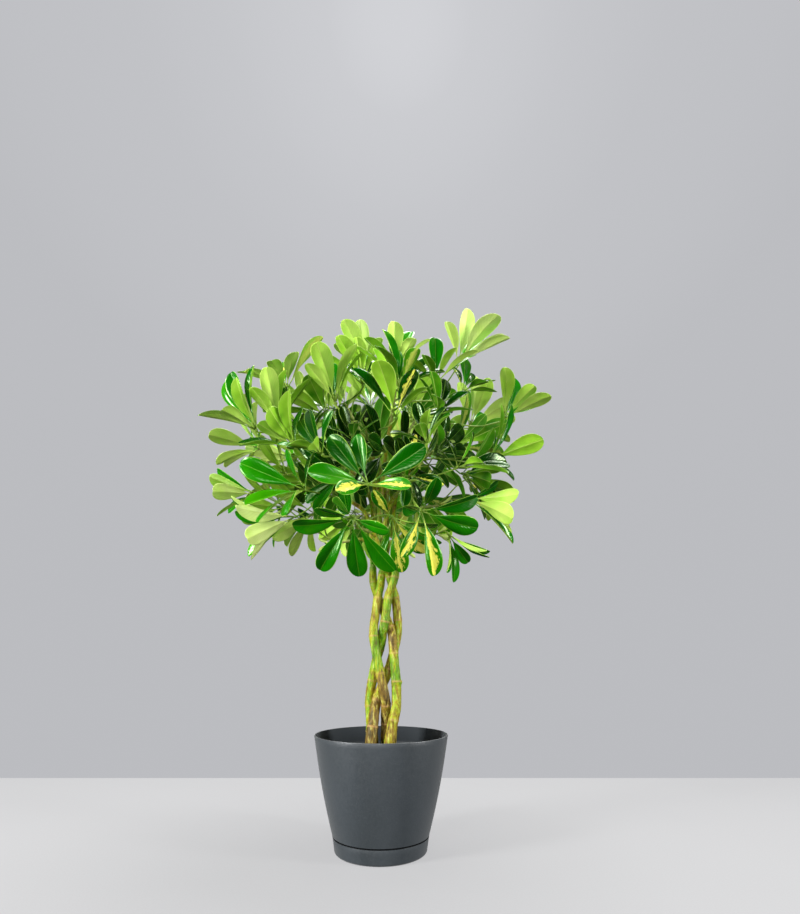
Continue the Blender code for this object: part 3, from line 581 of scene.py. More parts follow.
def stem_routes():
    """Each stem's points from its foot to the fork, pushed apart wherever two stems would touch."""
    routes = []
    for listed in STEM_ROUTES:
        points = [Vector(point) / 1000 for point in listed]
        foot = points[0].copy()
        foot.z = STEM_FOOT
        points.insert(0, foot)
        steps = round((points[-1].z - foot.z) / STEM_STEP) * POINTS_PER_STEP
        routes.append([smooth(points, i / steps) for i in range(steps + 1)])
    for _ in range(SPREADING_ROUNDS):
        for a in range(len(routes)):
            for b in range(a + 1, len(routes)):
                for p in routes[a]:
                    q = min(routes[b], key=lambda other: (other - p).length_squared)
                    apart = p - q
                    room = radius_at(p.z) + radius_at(q.z) + STEM_GAP
                    if p.z < SOIL_HEIGHT + SOIL_DOME:
                        room += FOOT_SPREAD
                    short = room - apart.length
                    if short > 0:
                        push = apart.normalized() * (short * 0.5)
                        push.z = 0
                        p += push
                        q -= push
        for route in routes:
            middle = [(route[i - 1] + route[i] * 2 + route[i + 1]) / 4 for i in range(1, len(route) - 1)]
            for i, point in enumerate(middle):
                route[i + 1].x = point.x
                route[i + 1].y = point.y
    return [route[::POINTS_PER_STEP] for route in routes]


def seen_leaf(hub, reach, tips_ahead, tips_behind):
    """A leaf whose tips are seen from VIEWPOINT at the given places. A higher leaf faces up more."""
    chords = []
    for tips, side in ((tips_ahead, -1), (tips_behind, 1)):
        for x, z in tips:
            sight = (Vector((x / 1000, hub.y, z / 1000)) - VIEWPOINT).normalized()
            beside = VIEWPOINT + sight * (hub - VIEWPOINT).dot(sight) - hub
            length = min(max(beside.length * LENGTH_PER_SEEN, reach * LEAST_LENGTH_SHARE), reach)
            chords.append(beside + sight * (side * math.sqrt(max(length ** 2 - beside.length_squared, 0.0))))
    mean = sum((chord.normalized() for chord in chords), Vector()) / len(chords)
    height = min(max((hub.z - SIDEWAYS_BELOW) / (UPWARDS_ABOVE - SIDEWAYS_BELOW), 0.0), 1.0)
    lift = Vector((0, 0, UP_SHARE * height))
    facing = (mean + (hub - CROWN_CENTRE).normalized() * OUTWARD_SHARE + lift).normalized()
    leaf = Leaf(hub, facing, facing.orthogonal().normalized(), ())
    aims = []
    for chord in chords:
        spread = math.degrees(facing.angle(chord)) - ARCH / 2
        aims.append(Aim(turn_about(leaf, chord), min(max(spread, NARROWEST), WIDEST), chord.length))
    return leaf._replace(aims=tuple(aims))


def crown_leaves():
    """The placed leaves, then those of the spiral that no placed leaf is near."""
    rng = random.Random(SEED)
    leaves = [seen_leaf(Vector(hub) / 1000, reach / 1000, *tips) for hub, reach, *tips in PLACED_LEAVES]
    for i in range(SPIRAL_STEPS):
        height = SPIRAL_LOWEST + (1 - SPIRAL_LOWEST) * (i + 0.5) / SPIRAL_STEPS
        turn = math.degrees(i * math.pi * (3 - math.sqrt(5)))
        level = heading(turn, math.degrees(math.asin(height))) * (1 + CROWN_TAPER * height)
        depth = SPIRAL_DEPTHS[i % len(SPIRAL_DEPTHS)] * (SPIRAL_FRONT if level.y < 0 else 1)
        hub = CROWN_CENTRE + level * CROWN_RADII * depth
        hub.z += CROWN_LEAN * hub.x
        if all((hub - leaf.hub).length > HUB_SPACING for leaf in leaves):
            tilt = SPIRAL_TILT + SPIRAL_TILT_RISE * height + rng.uniform(-TILT_SWAY, TILT_SWAY)
            count = SPIRAL_LEAFLETS[i % len(SPIRAL_LEAFLETS)]
            spread = SPIRAL_SPREAD - SPIRAL_SPREAD_FALL * height + rng.uniform(-SPREAD_SWAY, SPREAD_SWAY)
            start = rng.uniform(0, 360)
            aims = (
                Aim(start + 360 * (k + rng.uniform(-TURN_SWAY, TURN_SWAY)) / count,
                    spread + rng.uniform(-AIM_SWAY, AIM_SWAY), SPIRAL_REACH * rng.uniform(*SPIRAL_REACHES))
                for k in range(count)
            )
            leaves.append(Leaf(hub, heading(turn, tilt), heading(turn, tilt + 90), tuple(aims)))
    return leaves


def limb_routes(routes):
    """For each shoot: its stem's number, the limb's points, and the shoot's own points beyond it."""
    limbs = []
    for stem, route in enumerate(routes):
        top = route[-1]
        rise = ((route[-1] - route[-2]).normalized() + Vector((0, 0, LIMB_UPRIGHT))).normalized()
        for offset, distance, height, tilt in SHOOTS_PER_STEM:
            turn = STEM_SECTORS[stem] + offset
            root = Vector((0, 0, height)) + heading(turn, 0) * distance
            leaving = heading(turn, tilt)
            start = top - rise * LIMB_SINK
            span = (root - start).length
            reach = span * LIMB_BEND
            limb = bezier(start, start + rise * reach, root - leaving * reach, root, LIMB_STEPS)
            base = root + leaving * FIT
            shoot = [base + (leaving * (SHOOT_LENGTH * i / SHOOT_STEPS)) for i in range(SHOOT_STEPS + 1)]
            limbs.append((stem, limb, shoot))
    return limbs


def shared_out(leaves, limbs):
    """Each leaf's shoot: the nearest with room for it, once each shoot has the leaves nearest it."""
    pairs = sorted(
        ((leaf.hub - shoot[-1]).length, i, k)
        for i, leaf in enumerate(leaves)
        for k, (_, _, shoot) in enumerate(limbs)
    )
    owners = [None] * len(leaves)
    held = [0] * len(limbs)
    for most, farthest in ((FEWEST_LEAVES_PER_SHOOT, FAR_LEAF), (MOST_LEAVES_PER_SHOOT, math.inf)):
        for distance, i, k in pairs:
            if owners[i] is None and held[k] < most and distance < farthest:
                owners[i] = k
                held[k] += 1
    return owners


def stalk_points(leaf, start, leaving, bend):
    """A stalk from the shoot to the back of its leaf's hub, pushed aside by the bend."""
    end = leaf.hub - leaf.facing * HUB_DEPTH
    span = (end - start).length
    arriving = (leaf.facing + (end - start).normalized() * STALK_ARRIVAL).normalized()
    first = start + leaving * (span * STALK_BEND) + bend
    second = end - arriving * (span * STALK_BEND) + bend
    return bezier(start, first, second, end, STALK_STEPS)


def leaflet_of(leaf, aim, rng, attempt):
    """One leaflet of a leaf. Later attempts bend it further from where it would lie, and shorten it."""
    slack = attempt / TRIES
    swing = SWING_ADDED * slack + SWING
    spread = max(aim.spread + rng.uniform(-SWING, SWING) + rng.uniform(*SPREADS_ADDED) * slack, LEAST_SPREAD)
    turn = (aim.turn + rng.uniform(-swing, swing)) % 360
    length = aim.length * rng.uniform(*LENGTH_SHARES) * (1 - SHORTENING * slack)
    roll = math.radians(rng.uniform(-ROLL, ROLL) * (1 + slack))
    arch = ARCH * rng.uniform(*ARCH_SHARES)
    along = ring_way(leaf, turn, spread)
    face = -ring_way(leaf, turn, spread + 90)
    face = face * math.cos(roll) + along.cross(face) * math.sin(roll)
    root = leaf.hub + along * HUB_RADIUS
    return Leaflet(root, along, face, length, length * WIDTH_SHARE, arch, FOLD, turn)


def tapered(start, end, steps, grow=0.0):
    return [start + (end - start) * i / steps + grow for i in range(steps + 1)]


def grow_plant():
    """Where every stem, limb, shoot, stalk and leaflet lies, each clear of what belongs to another piece."""
    rng = random.Random(SEED + 1)
    stems = stem_routes()
    limbs = limb_routes(stems)
    leaves = crown_leaves()
    owners = shared_out(leaves, limbs)
    limb_radii = tapered(LIMB_RADIUS, LIMB_END_RADIUS, LIMB_STEPS, LEAF_GAP)
    shoot_radii = tapered(SHOOT_RADIUS, SHOOT_TIP_RADIUS, SHOOT_STEPS, LEAF_GAP)
    bodies = []
    for route in stems:
        radii = [radius_at(point.z) + LEAF_GAP for point in route]
        bodies.append(body_of(tube(route, radii, STEM_SIDES), STEM_OWNER))
    for owner, (_, limb, shoot) in enumerate(limbs):
        bodies.append(body_of(tube(limb, limb_radii, LIMB_SIDES), STEM_OWNER))
        bodies.append(body_of(tube(shoot, shoot_radii, SHOOT_SIDES), owner))

    stalks = [None] * len(leaves)
    held = [0] * len(limbs)
    nearest_first = sorted(range(len(leaves)), key=lambda i: (leaves[i].hub - limbs[owners[i]][2][-1]).length)
    for i in nearest_first:
        leaf, owner = leaves[i], owners[i]
        shoot = limbs[owner][2]
        start = smooth(shoot, 1 - STALK_SPACING * held[owner])
        held[owner] += 1
        leaving = ((shoot[-1] - shoot[0]).normalized() + (leaf.hub - start).normalized()).normalized()
        for attempt in range(TRIES):
            bend = Vector((rng.uniform(-1, 1), rng.uniform(-1, 1), rng.uniform(-STALK_SAG, 1)))
            bend = bend * (STALK_PUSH * attempt)
            points = stalk_points(leaf, start, leaving, bend)
            radii = [STALK_RADIUS + LEAF_GAP] * len(points)
            body = body_of(tube(points, radii, STALK_SIDES), owner, i)
            hub_ends = [points[-1], leaf.hub + leaf.facing * HUB_RADIUS]
            hub = body_of(tube(hub_ends, [HUB_RADIUS + LEAF_GAP] * 2, SHOOT_SIDES), owner, i)
            if not touches(body, bodies) and not touches(hub, bodies):
                stalks[i] = points
                bodies += [body, hub]
                break

    leaflets = [[] for _ in leaves]
    for i, leaf in enumerate(leaves):
        if stalks[i] is None:
            continue
        near = [body_of(tube(stalks[i][:-1], [STALK_RADIUS] * STALK_STEPS, STALK_SIDES), owners[i])]
        for aim in leaf.aims:
            for attempt in range(TRIES):
                leaflet = leaflet_of(leaf, aim, rng, attempt)
                if any(turn_between(leaflet, other) < LEAST_TURN for other in leaflets[i]):
                    continue
                body = body_of(blade(leaflet, SOURCE_STATIONS, LEAF_GAP), owners[i], i)
                beyond_foot = body_of(blade(leaflet, SOURCE_STATIONS[1:], LEAF_GAP), owners[i], i)
                alone = attempt < TRIES_ALONE
                if touches(body, bodies, alone=alone) or touches(beyond_foot, near, alone=True):
                    continue
                leaflets[i].append(leaflet)
                bodies.append(body)
                near.append(beyond_foot._replace(leaf=None))
                break
    return Plan(stems, limbs, leaves, owners, stalks, leaflets), bodies


def new_object(name, shape, made=None, collection=None):
    vertices, faces = shape
    mesh = bpy.data.meshes.new(name)
    mesh.from_pydata(vertices, [], faces)
    work = bmesh.new()
    work.from_mesh(mesh)
    bmesh.ops.triangulate(work, faces=[face for face in work.faces if len(face.verts) > 4])
    bmesh.ops.recalc_face_normals(work, faces=work.faces)
    work.to_mesh(mesh)
    work.free()
    if made:
        mesh.materials.append(made)
    made_object = bpy.data.objects.new(name, mesh)
    (collection or bpy.context.scene.collection).objects.link(made_object)
    return made_object


def combined(target, shapes, operation):
    """The target after one Boolean with all the shapes, which are then removed."""
    helpers = bpy.data.collections.new("helpers")
    bpy.context.scene.collection.children.link(helpers)
    for shape in shapes:
        new_object("helper", shape, collection=helpers)
    modifier = target.modifiers.new("Combine", "BOOLEAN")
    modifier.operation = operation
    modifier.operand_type = "COLLECTION"
    modifier.collection = helpers
    modifier.solver = "MANIFOLD"
    graph = bpy.context.evaluated_depsgraph_get()
    result = bpy.data.meshes.new_from_object(target.evaluated_get(graph), depsgraph=graph)
    target.modifiers.clear()
    target.data = result
    for helper in list(helpers.objects):
        bpy.data.objects.remove(helper, do_unlink=True)
    bpy.data.collections.remove(helpers)
    return target


def turned(profile, sides):
    """A solid turned about Z from a profile that starts and ends on the axis."""
    vertices = [Vector((0, 0, profile[0][1]))]
    for radius, z in profile[1:-1]:
        for k in range(sides):
            angle = 2 * math.pi * k / sides
            vertices.append(Vector((radius * math.cos(angle), radius * math.sin(angle), z)))
    vertices.append(Vector((0, 0, profile[-1][1])))
    end = len(vertices) - 1
    faces = [(0, 1 + (k + 1) % sides, 1 + k) for k in range(sides)]
    for i in range(len(profile) - 3):
        for k in range(sides):
            a, b = 1 + i * sides + k, 1 + i * sides + (k + 1) % sides
            faces.append((a, b, b + sides, a + sides))
    last = end - sides
    faces += [(last + k, last + (k + 1) % sides, end) for k in range(sides)]
    return vertices, faces


def wall_radius(z):
    """The outer face of the pot's wall: a straight taper with a slight outward bow."""
    share = (z - SEAM_HEIGHT) / (RIM_HEIGHT - SEAM_HEIGHT)
    return SEAM_RADIUS + (RIM_RADIUS - SEAM_RADIUS) * share + WALL_BOW * math.sin(math.pi * share)


def tray_radius(z):
    return BASE_RADIUS + (SEAM_RADIUS - BASE_RADIUS) * z / SEAM_HEIGHT


def foot_radius(z):
    """The pot's foot, which stands inside the tray."""
    return tray_radius(z) - WALL - FIT


class Shape:
    """What is gathered for one piece: vertices, faces with their materials, and two marks for each vertex."""

    def __init__(self):
        self.vertices, self.faces, self.kinds, self.marks, self.tints = [], [], [], [], []

    def add(self, vertices, faces, kinds, marks=None, tint=(0.0, 0.5, 0.5)):
        start = len(self.vertices)
        count = len(vertices)
        self.vertices += [tuple(vertex) for vertex in vertices]
        self.faces += [tuple(start + k for k in face) for face in faces]
        self.kinds += kinds if isinstance(kinds, list) else [kinds] * len(faces)
        self.marks += marks if marks is not None else [(0.0, 0.0, 0.0)] * count
        self.tints += [tint] * count

    def piece(self, name):
        mesh = bpy.data.meshes.new(name)
        mesh.from_pydata(self.vertices, [], self.faces)
        mesh.polygons.foreach_set("material_index", self.kinds)
        for title, values in (("blade", self.marks), ("tint", self.tints)):
            layer = mesh.attributes.new(title, "FLOAT_VECTOR", "POINT")
            layer.data.foreach_set("vector", np.array(values, dtype=np.float32).ravel())
        mesh.shade_smooth()
        made = bpy.data.objects.new(name, mesh)
        bpy.context.scene.collection.objects.link(made)
        return made


def placed(piece, materials, finish, *nodes):
    """The piece in its materials, riding on the part in place of the given nodes."""
    for made in materials[len(piece.data.materials):]:
        piece.data.materials.append(made)
    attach(piece, "root")
    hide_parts(*nodes)
    return piece


def step_up(value, low, high):
    """From 0 below low to 1 above high, with soft ends."""
    share = np.clip((value - low) / (high - low), 0.0, 1.0)
    return share * share * (3 - 2 * share)


# Materials


def rgb(red, green, blue):
    """A linear colour from the usual 0 to 255."""
    return (*((value / 255) ** 2.2 for value in (red, green, blue)), 1.0)


class Look:
    """The node tree of a new material or world. Most methods add a node and give back its output."""

    def __init__(self, name, kind=bpy.data.materials):
        self.made = kind.new(name)
        self.made.use_nodes = True
        self.nodes = self.made.node_tree.nodes

    def put(self, socket, value):
        if isinstance(value, bpy.types.NodeSocket):
            self.made.node_tree.links.new(value, socket)
        else:
            socket.default_value = value

    def add(self, kind, inputs, output=0, **settings):
        node = self.nodes.new("ShaderNode" + kind)
        for key, value in settings.items():
            setattr(node, key, value)
        for key, value in inputs.items():
            self.put(node.inputs[key], value)
        return node.outputs[output]

    def place(self, scale=(1.0, 1.0, 1.0)):
        here = self.add("TexCoord", {}, "Object")
        return self.add("Mapping", {"Vector": here, "Scale": scale})

    def parts(self, name):
        vector = self.add("Attribute", {}, "Vector", attribute_name=name)
        first = self.add("SeparateXYZ", {0: vector})
        return first, first.node.outputs[1], first.node.outputs[2]

    def noise(self, place, scale, detail=2.0, rough=0.5):
        return self.add("TexNoise", {"Vector": place, "Scale": scale, "Detail": detail, "Roughness": rough})

    def sum(self, operation, a, b=0.0, c=0.0):
        return self.add("Math", {0: a, 1: b, 2: c}, operation=operation)

    def step(self, value, low, high, to_low=0.0, to_high=1.0):
        inputs = {"Value": value, "From Min": low, "From Max": high, "To Min": to_low, "To Max": to_high}
        return self.add("MapRange", inputs, interpolation_type="SMOOTHSTEP")

    def mix(self, share, a, b):
        return self.add("Mix", {0: share, 6: a, 7: b}, 2, data_type="RGBA")

    def over(self, colour, mask, share, top):
        """The colour with another over it, as strongly as the mask and the share say."""
        return self.mix(self.sum("MULTIPLY", mask, share), colour, top)

    def ramp(self, value, *stops):
        colour = self.add("ValToRGB", {0: value})
        elements = colour.node.color_ramp.elements
        while len(elements) < len(stops):
            elements.new(0.5)
        for element, (place, shade) in zip(elements, stops):
            element.position = place
            element.color = shade
        return colour

    def done(self, colour, roughness, height, distance, strength=1.0, **others):
        """The material, with a bump of this height and these settings of its surface."""
        shader = self.nodes["Principled BSDF"]
        self.put(shader.inputs["Base Color"], colour)
        self.put(shader.inputs["Roughness"], roughness)
        bump = self.add("Bump", {"Height": height, "Distance": distance, "Strength": strength})
        self.put(shader.inputs["Normal"], bump)
        for key, value in others.items():
            self.put(shader.inputs[key.replace("_", " ")], value)
        return self.made


def leaf_look(name, upper):
    """A leaflet's skin: veins, a pale midrib and margin, and splashes of yellow where the tint has them."""
    look = Look(name)
    along, across, aside = look.parts("blade")
    gold, tone, seed = look.parts("tint")
    out = look.sum("ABSOLUTE", across)
    place = look.place()
    mottle = look.noise(place, 95.0, 3.0)
    cloud = look.noise(place, 26.0, 2.0)
    # The tint's tone carries painted shade and light from the leaf's place in the crown, with tone by chance,
    # and sets how dark the green is
    shade = look.sum("MULTIPLY_ADD", cloud, 0.5, look.sum("SUBTRACT", tone, 0.25))
    if upper:
        base = look.ramp(shade, (0.0, rgb(2, 26, 0)), (0.25, rgb(4, 52, 0)), (0.5, rgb(12, 88, 0)),
                         (0.75, rgb(32, 120, 2)), (1.0, rgb(76, 152, 10)))
        rib_colour, rib_share, vein_share = rgb(140, 190, 60), 0.20, 0.08
        margin, margin_share = rgb(178, 220, 90), 0.72
        yellows = rgb(212, 210, 14), rgb(246, 238, 128)
    else:
        base = look.ramp(shade, (0.0, rgb(16, 76, 2)), (0.25, rgb(66, 140, 10)), (0.5, rgb(152, 206, 54)),
                         (0.75, rgb(198, 230, 106)), (1.0, rgb(224, 242, 150)))
        rib_colour, rib_share, vein_share = rgb(212, 228, 120), 0.55, 0.16
        margin, margin_share = rgb(214, 232, 120), 0.6
        yellows = rgb(222, 212, 60), rgb(240, 236, 140)
    slanted = look.sum("MULTIPLY_ADD", out, -3.1, look.sum("MULTIPLY", along, 13.0))
    wandering = look.sum("MULTIPLY_ADD", cloud, 0.9, slanted)
    vein = look.step(look.sum("PINGPONG", wandering, 0.5), 0.36, 0.5)
    vein = look.sum("MULTIPLY", vein, look.step(out, 0.97, 0.80))
    rib = look.step(aside, 0.85, 0.25)
    rim = look.step(out, 0.925, 0.985)
    vein_colour = rgb(96, 150, 40) if upper else rgb(124, 160, 62)
    colour = look.over(base, vein, vein_share, vein_colour)
    slide, layer = look.sum("MULTIPLY", slanted, 0.16), look.sum("MULTIPLY", seed, 60.0)
    spot = look.add("CombineXYZ", {0: slide, 1: across, 2: layer})
    blotch = look.noise(spot, 2.6, 7.0, 0.70)
    middle = look.sum("MULTIPLY_ADD", out, -0.42, look.sum("MULTIPLY", gold, 0.40))
    splash = look.step(look.sum("MULTIPLY_ADD", blotch, 1.0, middle), 0.56, 0.60)
    splash = look.sum("MULTIPLY", splash, look.step(gold, 0.02, 0.10, 0.0, 1.0 if upper else 0.5))
    yellow = look.mix(look.noise(spot, 5.0, 3.0), *yellows)
    colour = look.mix(splash, colour, yellow)
    colour = look.over(colour, rib, rib_share, rib_colour)
    colour = look.over(colour, rim, margin_share, margin)
    height = look.sum("MULTIPLY_ADD", vein, -0.5 if upper else 0.6, look.sum("MULTIPLY", mottle, 0.12))
    low, high = (0.10, 0.20) if upper else (0.42, 0.56)
    roughness = look.step(mottle, 0.25, 0.75, low, high)
    tint = rgb(215, 255, 185) if upper else rgb(215, 255, 165)
    return look.done(colour, roughness, height, 0.00022, 0.7, Specular_IOR_Level=0.5, Specular_Tint=tint)


def stalk_look():
    look = Look("leaf stalk")
    place = look.place()
    streaks = look.noise(place, 160.0, 3.0)
    colour = look.ramp(look.noise(place, 45.0), (0.3, rgb(78, 118, 20)), (0.7, rgb(140, 168, 54)))
    return look.done(colour, look.step(streaks, 0.2, 0.8, 0.36, 0.5), streaks, 0.0001)


def twig_look():
    look = Look("young twig")
    place = look.place()
    corks = look.noise(place, 420.0, 2.0)
    patches = look.noise(place, 60.0, 3.0)
    green = look.ramp(patches, (0.35, rgb(92, 118, 40)), (0.65, rgb(138, 150, 66)))
    colour = look.mix(look.step(corks, 0.56, 0.66), green, rgb(150, 124, 78))
    return look.done(colour, look.step(patches, 0.2, 0.8, 0.5, 0.68), corks, 0.0002)


def bark_look():
    """Bark from tan cork through yellow to green, with pale leaf scars, cork patches, brown flecks, painted
    shade in its grooves and painted highlights on its ridges.
    """
    look = Look("stem bark")
    tone, scar, _ = look.parts("blade")
    place = look.place()
    streaks = look.noise(look.place((1.0, 1.0, 0.20)), 260.0, 4.0, 0.6)
    patches = look.noise(look.place((1.0, 1.0, 0.24)), 120.0, 4.0, 0.6)
    grain = look.noise(place, 560.0, 3.0, 0.6)
    wander = look.sum("MULTIPLY_ADD", patches, 1.5, look.sum("MULTIPLY", streaks, 0.9))
    shade = look.sum("ADD", look.sum("SUBTRACT", tone, 1.2), wander)
    colour = look.ramp(shade, (0.0, rgb(64, 48, 20)), (0.18, rgb(106, 82, 36)), (0.36, rgb(136, 114, 42)),
                       (0.50, rgb(152, 142, 28)), (0.64, rgb(146, 164, 16)), (0.78, rgb(106, 150, 12)),
                       (0.90, rgb(80, 134, 10)), (1.0, rgb(58, 106, 8)))
    cork = look.step(look.noise(look.place((1.0, 1.0, 0.34)), 190.0, 4.0, 0.65), 0.55, 0.62)
    colour = look.over(colour, cork, 0.52, rgb(118, 92, 36))
    # Painted shade: dark brown in the grooves, where the streaks are low
    colour = look.mix(look.step(streaks, 0.33, 0.48, 0.78, 0.0), colour, rgb(54, 46, 12))
    # Painted highlight: pale yellow along the ridges, where the streaks are high
    colour = look.mix(look.step(streaks, 0.54, 0.68, 0.0, 0.5), colour, rgb(214, 220, 120))
    flecks = look.step(look.noise(look.place((1.0, 1.0, 0.7)), 420.0, 3.0, 0.7), 0.58, 0.66)
    colour = look.over(colour, flecks, 0.6, rgb(70, 52, 18))
    colour = look.over(colour, scar, look.step(grain, 0.35, 0.6, 0.4, 1.0), rgb(178, 138, 88))
    height = look.sum("MULTIPLY_ADD", cork, 0.5, look.sum("MULTIPLY_ADD", grain, 0.5, streaks))
    roughness = look.step(grain, 0.2, 0.8, 0.40, 0.60)
    return look.done(colour, roughness, height, 0.0009, Specular_Tint=rgb(255, 244, 190))


def plastic_look(name):
    """Satin moulded plastic with a fine grain, duller inside the pot and darkened there by painted shade, and
    painted dark with shade in the seam above the tray.
    """
    look = Look(name)
    place = look.place()
    grain = look.noise(place, 900.0, 2.0, 0.6)
    specks = look.step(look.noise(place, 1500.0, 1.0), 0.60, 0.72)
    cloud = look.noise(look.place((1.0, 1.0, 0.5)), 14.0, 3.0)
    base = look.mix(look.step(cloud, 0.25, 0.75), rgb(39, 46, 50), rgb(47, 54, 59))
    colour = look.over(base, specks, 0.35, rgb(92, 99, 103))
    level = look.add("SeparateXYZ", {0: place}, 2)
    across = look.add("VectorMath", {0: look.place((1.0, 1.0, 0.0))}, "Value", operation="LENGTH")
    slope = (RIM_RADIUS - SEAM_RADIUS) / (RIM_HEIGHT - SEAM_HEIGHT)
    straight = look.sum("MULTIPLY_ADD", level, slope, SEAM_RADIUS - SEAM_HEIGHT * slope)
    inner = look.step(look.sum("SUBTRACT", across, straight), -0.0014, -0.0008, 1.0, 0.0)
    # Painted shade: the inside of the pot darkened towards a dark blue-grey
    colour = look.over(colour, inner, 0.8, rgb(11, 22, 28))
    # Painted shade: dark in the seam above the tray, where the pot meets it; the same mask also lowers the
    # gloss there
    off_seam = look.sum("ABSOLUTE", look.sum("SUBTRACT", level, SEAM_HEIGHT + SEAM_GROOVE / 2))
    seam_shade_clear = look.step(off_seam, 0.0008, 0.0019, 0.08, 1.0)
    colour = look.mix(seam_shade_clear, rgb(8, 9, 10), colour)
    roughness = look.step(look.noise(place, 240.0, 3.0), 0.2, 0.8, 0.38, 0.48)
    roughness = look.sum("MAXIMUM", roughness, look.sum("MULTIPLY", inner, 0.85))
    gloss = look.sum("MULTIPLY", seam_shade_clear, look.sum("MULTIPLY_ADD", inner, -0.5, 1.0))
    return look.done(colour, roughness, grain, 0.00012, 0.8, Specular_IOR_Level=gloss,
                     Sheen_Weight=look.sum("MULTIPLY", gloss, 0.28))


def soil_look():
    look = Look("potting soil")
    place = look.place()
    crumbs = look.noise(place, 520.0, 5.0, 0.7)
    damp = look.noise(place, 40.0, 3.0)
    colour = look.ramp(crumbs, (0.30, rgb(26, 18, 13)), (0.52, rgb(54, 38, 27)), (0.74, rgb(92, 68, 48)))
    colour = look.mix(look.step(damp, 0.4, 0.6, 0.0, 0.5), colour, rgb(22, 15, 11))
    return look.done(colour, look.step(crumbs, 0.3, 0.7, 0.80, 0.96), crumbs, 0.0016)


def chip_look():
    look = Look("bark chips")
    place = look.place()
    fibres = look.noise(look.place((1.0, 0.25, 1.0)), 520.0, 4.0, 0.6)
    colour = look.ramp(look.noise(place, 130.0, 3.0), (0.35, rgb(58, 38, 24)), (0.52, rgb(104, 70, 42)),
                       (0.70, rgb(140, 102, 66)))
    return look.done(colour, look.step(fibres, 0.3, 0.7, 0.7, 0.9), fibres, 0.0005)


def perlite_look():
    look = Look("perlite")
    pores = look.noise(look.place(), 700.0, 4.0, 0.7)
    colour = look.ramp(pores, (0.35, rgb(168, 162, 150)), (0.60, rgb(232, 229, 220)))
    return look.done(colour, look.step(pores, 0.3, 0.7, 0.75, 0.95), pores, 0.0005)


def floor_look():
    look = Look("pale floor")
    place = look.place()
    dust = look.noise(place, 340.0, 3.0)
    cloud = look.noise(place, 1.6, 3.0)
    colour = look.mix(look.step(cloud, 0.3, 0.7), rgb(82, 82, 82), rgb(84, 84, 84))
    return look.done(colour, look.step(dust, 0.3, 0.7, 0.62, 0.74), dust, 0.0001, 0.3,
                     Emission_Color=rgb(215, 215, 217), Emission_Strength=FLOOR_GLOW)


# The pot, its tray and the soil


def arc(centre, radius, first, last):
    """Points (radius from the axis, z) on an arc, with angles in degrees from outwards towards up."""
    points = []
    for i in range(ARC_STEPS + 1):
        angle = math.radians(first + (last - first) * i / ARC_STEPS)
        points.append((centre[0] + radius * math.cos(angle), centre[1] + radius * math.sin(angle)))
    return points


def fine_pot(made):
    floor = FLOOR + FIT
    seam = SEAM_HEIGHT + SEAM_GROOVE
    edge = EDGE_ROUND
    top = RIM_HEIGHT - edge
    profile = [(0, floor)]
    profile += arc((foot_radius(floor) - edge, floor + edge), edge, -90, -10)
    profile.append((foot_radius(seam), seam))
    profile += arc((wall_radius(seam) - edge / 2, seam + edge / 2), edge / 2, -90, 0)
    heights = [seam + edge + (top - seam - edge) * i / FINE_WALL_STEPS for i in range(1, FINE_WALL_STEPS)]
    profile += [(wall_radius(z), z) for z in heights]
    profile += arc((wall_radius(RIM_HEIGHT) - edge, top), edge, 0, 90)
    profile += arc((wall_radius(RIM_HEIGHT) - WALL + edge, top), edge, 90, 180)
    profile += [(wall_radius(z) - WALL, z) for z in reversed(heights)]
    profile += [(foot_radius(seam) - WALL, seam + WALL), (foot_radius(floor) - WALL, floor + WALL)]
    profile.append((0, floor + WALL))
    pot = new_object("pot_wall", turned(profile, FINE_SIDES), made)
    holes = []
    for k in range(DRAIN_HOLES):
        angle = math.pi * (2 * k + 1) / DRAIN_HOLES
        centre = Vector((DRAIN_CIRCLE * math.cos(angle), DRAIN_CIRCLE * math.sin(angle), floor))
        ends = [centre - Vector((0, 0, WALL)), centre + Vector((0, 0, WALL * 2))]
        holes.append(tube(ends, [DRAIN_RADIUS] * 2, HOLE_FINE_SIDES))
    return smoothed(combined(pot, holes, "DIFFERENCE"))


def fine_tray(made):
    top = SEAM_HEIGHT
    edge = EDGE_ROUND
    profile = [(0, 0)]
    for i in range(ARC_STEPS * 2 + 1):
        angle = math.pi / 2 * i / (ARC_STEPS * 2)
        inwards = BASE_ROUND * (1 - math.sin(angle))
        profile.append((tray_radius(BASE_ROUND) - inwards, BASE_ROUND * (1 - math.cos(angle))))
    profile.append((tray_radius(top * TRAY_MIDDLE), top * TRAY_MIDDLE))
    profile += arc((tray_radius(top) - edge / 2, top - edge / 2), edge / 2, 0, 90)
    profile += arc((tray_radius(top) - WALL + edge / 2, top - edge / 2), edge / 2, 90, 180)
    inner = tray_radius(FLOOR) - WALL
    profile += [(inner, FLOOR + edge), (inner - edge, FLOOR), (0, FLOOR)]
    return smoothed(new_object("tray_wall", turned(profile, FINE_SIDES), made))


def smoothed(made):
    made.data.shade_smooth()
    made.data.set_sharp_from_angle(angle=math.radians(SHARP_ANGLE))
    return made


def soil_level(x, y, edge):
    """The height of the soil at a point: a low dome, heaped unevenly."""
    share = min(math.hypot(x, y) / edge, 1.0)
    lumps = sum(height * noise.noise(Vector((x, y, layer)) * scale) for scale, layer, height in SOIL_LUMPS)
    rough = SOIL_ROUGHNESS * lumps * (1 - share ** SOIL_EDGE_POWER)
    return SOIL_HEIGHT + SOIL_DOME * (1 - share ** 2) + rough


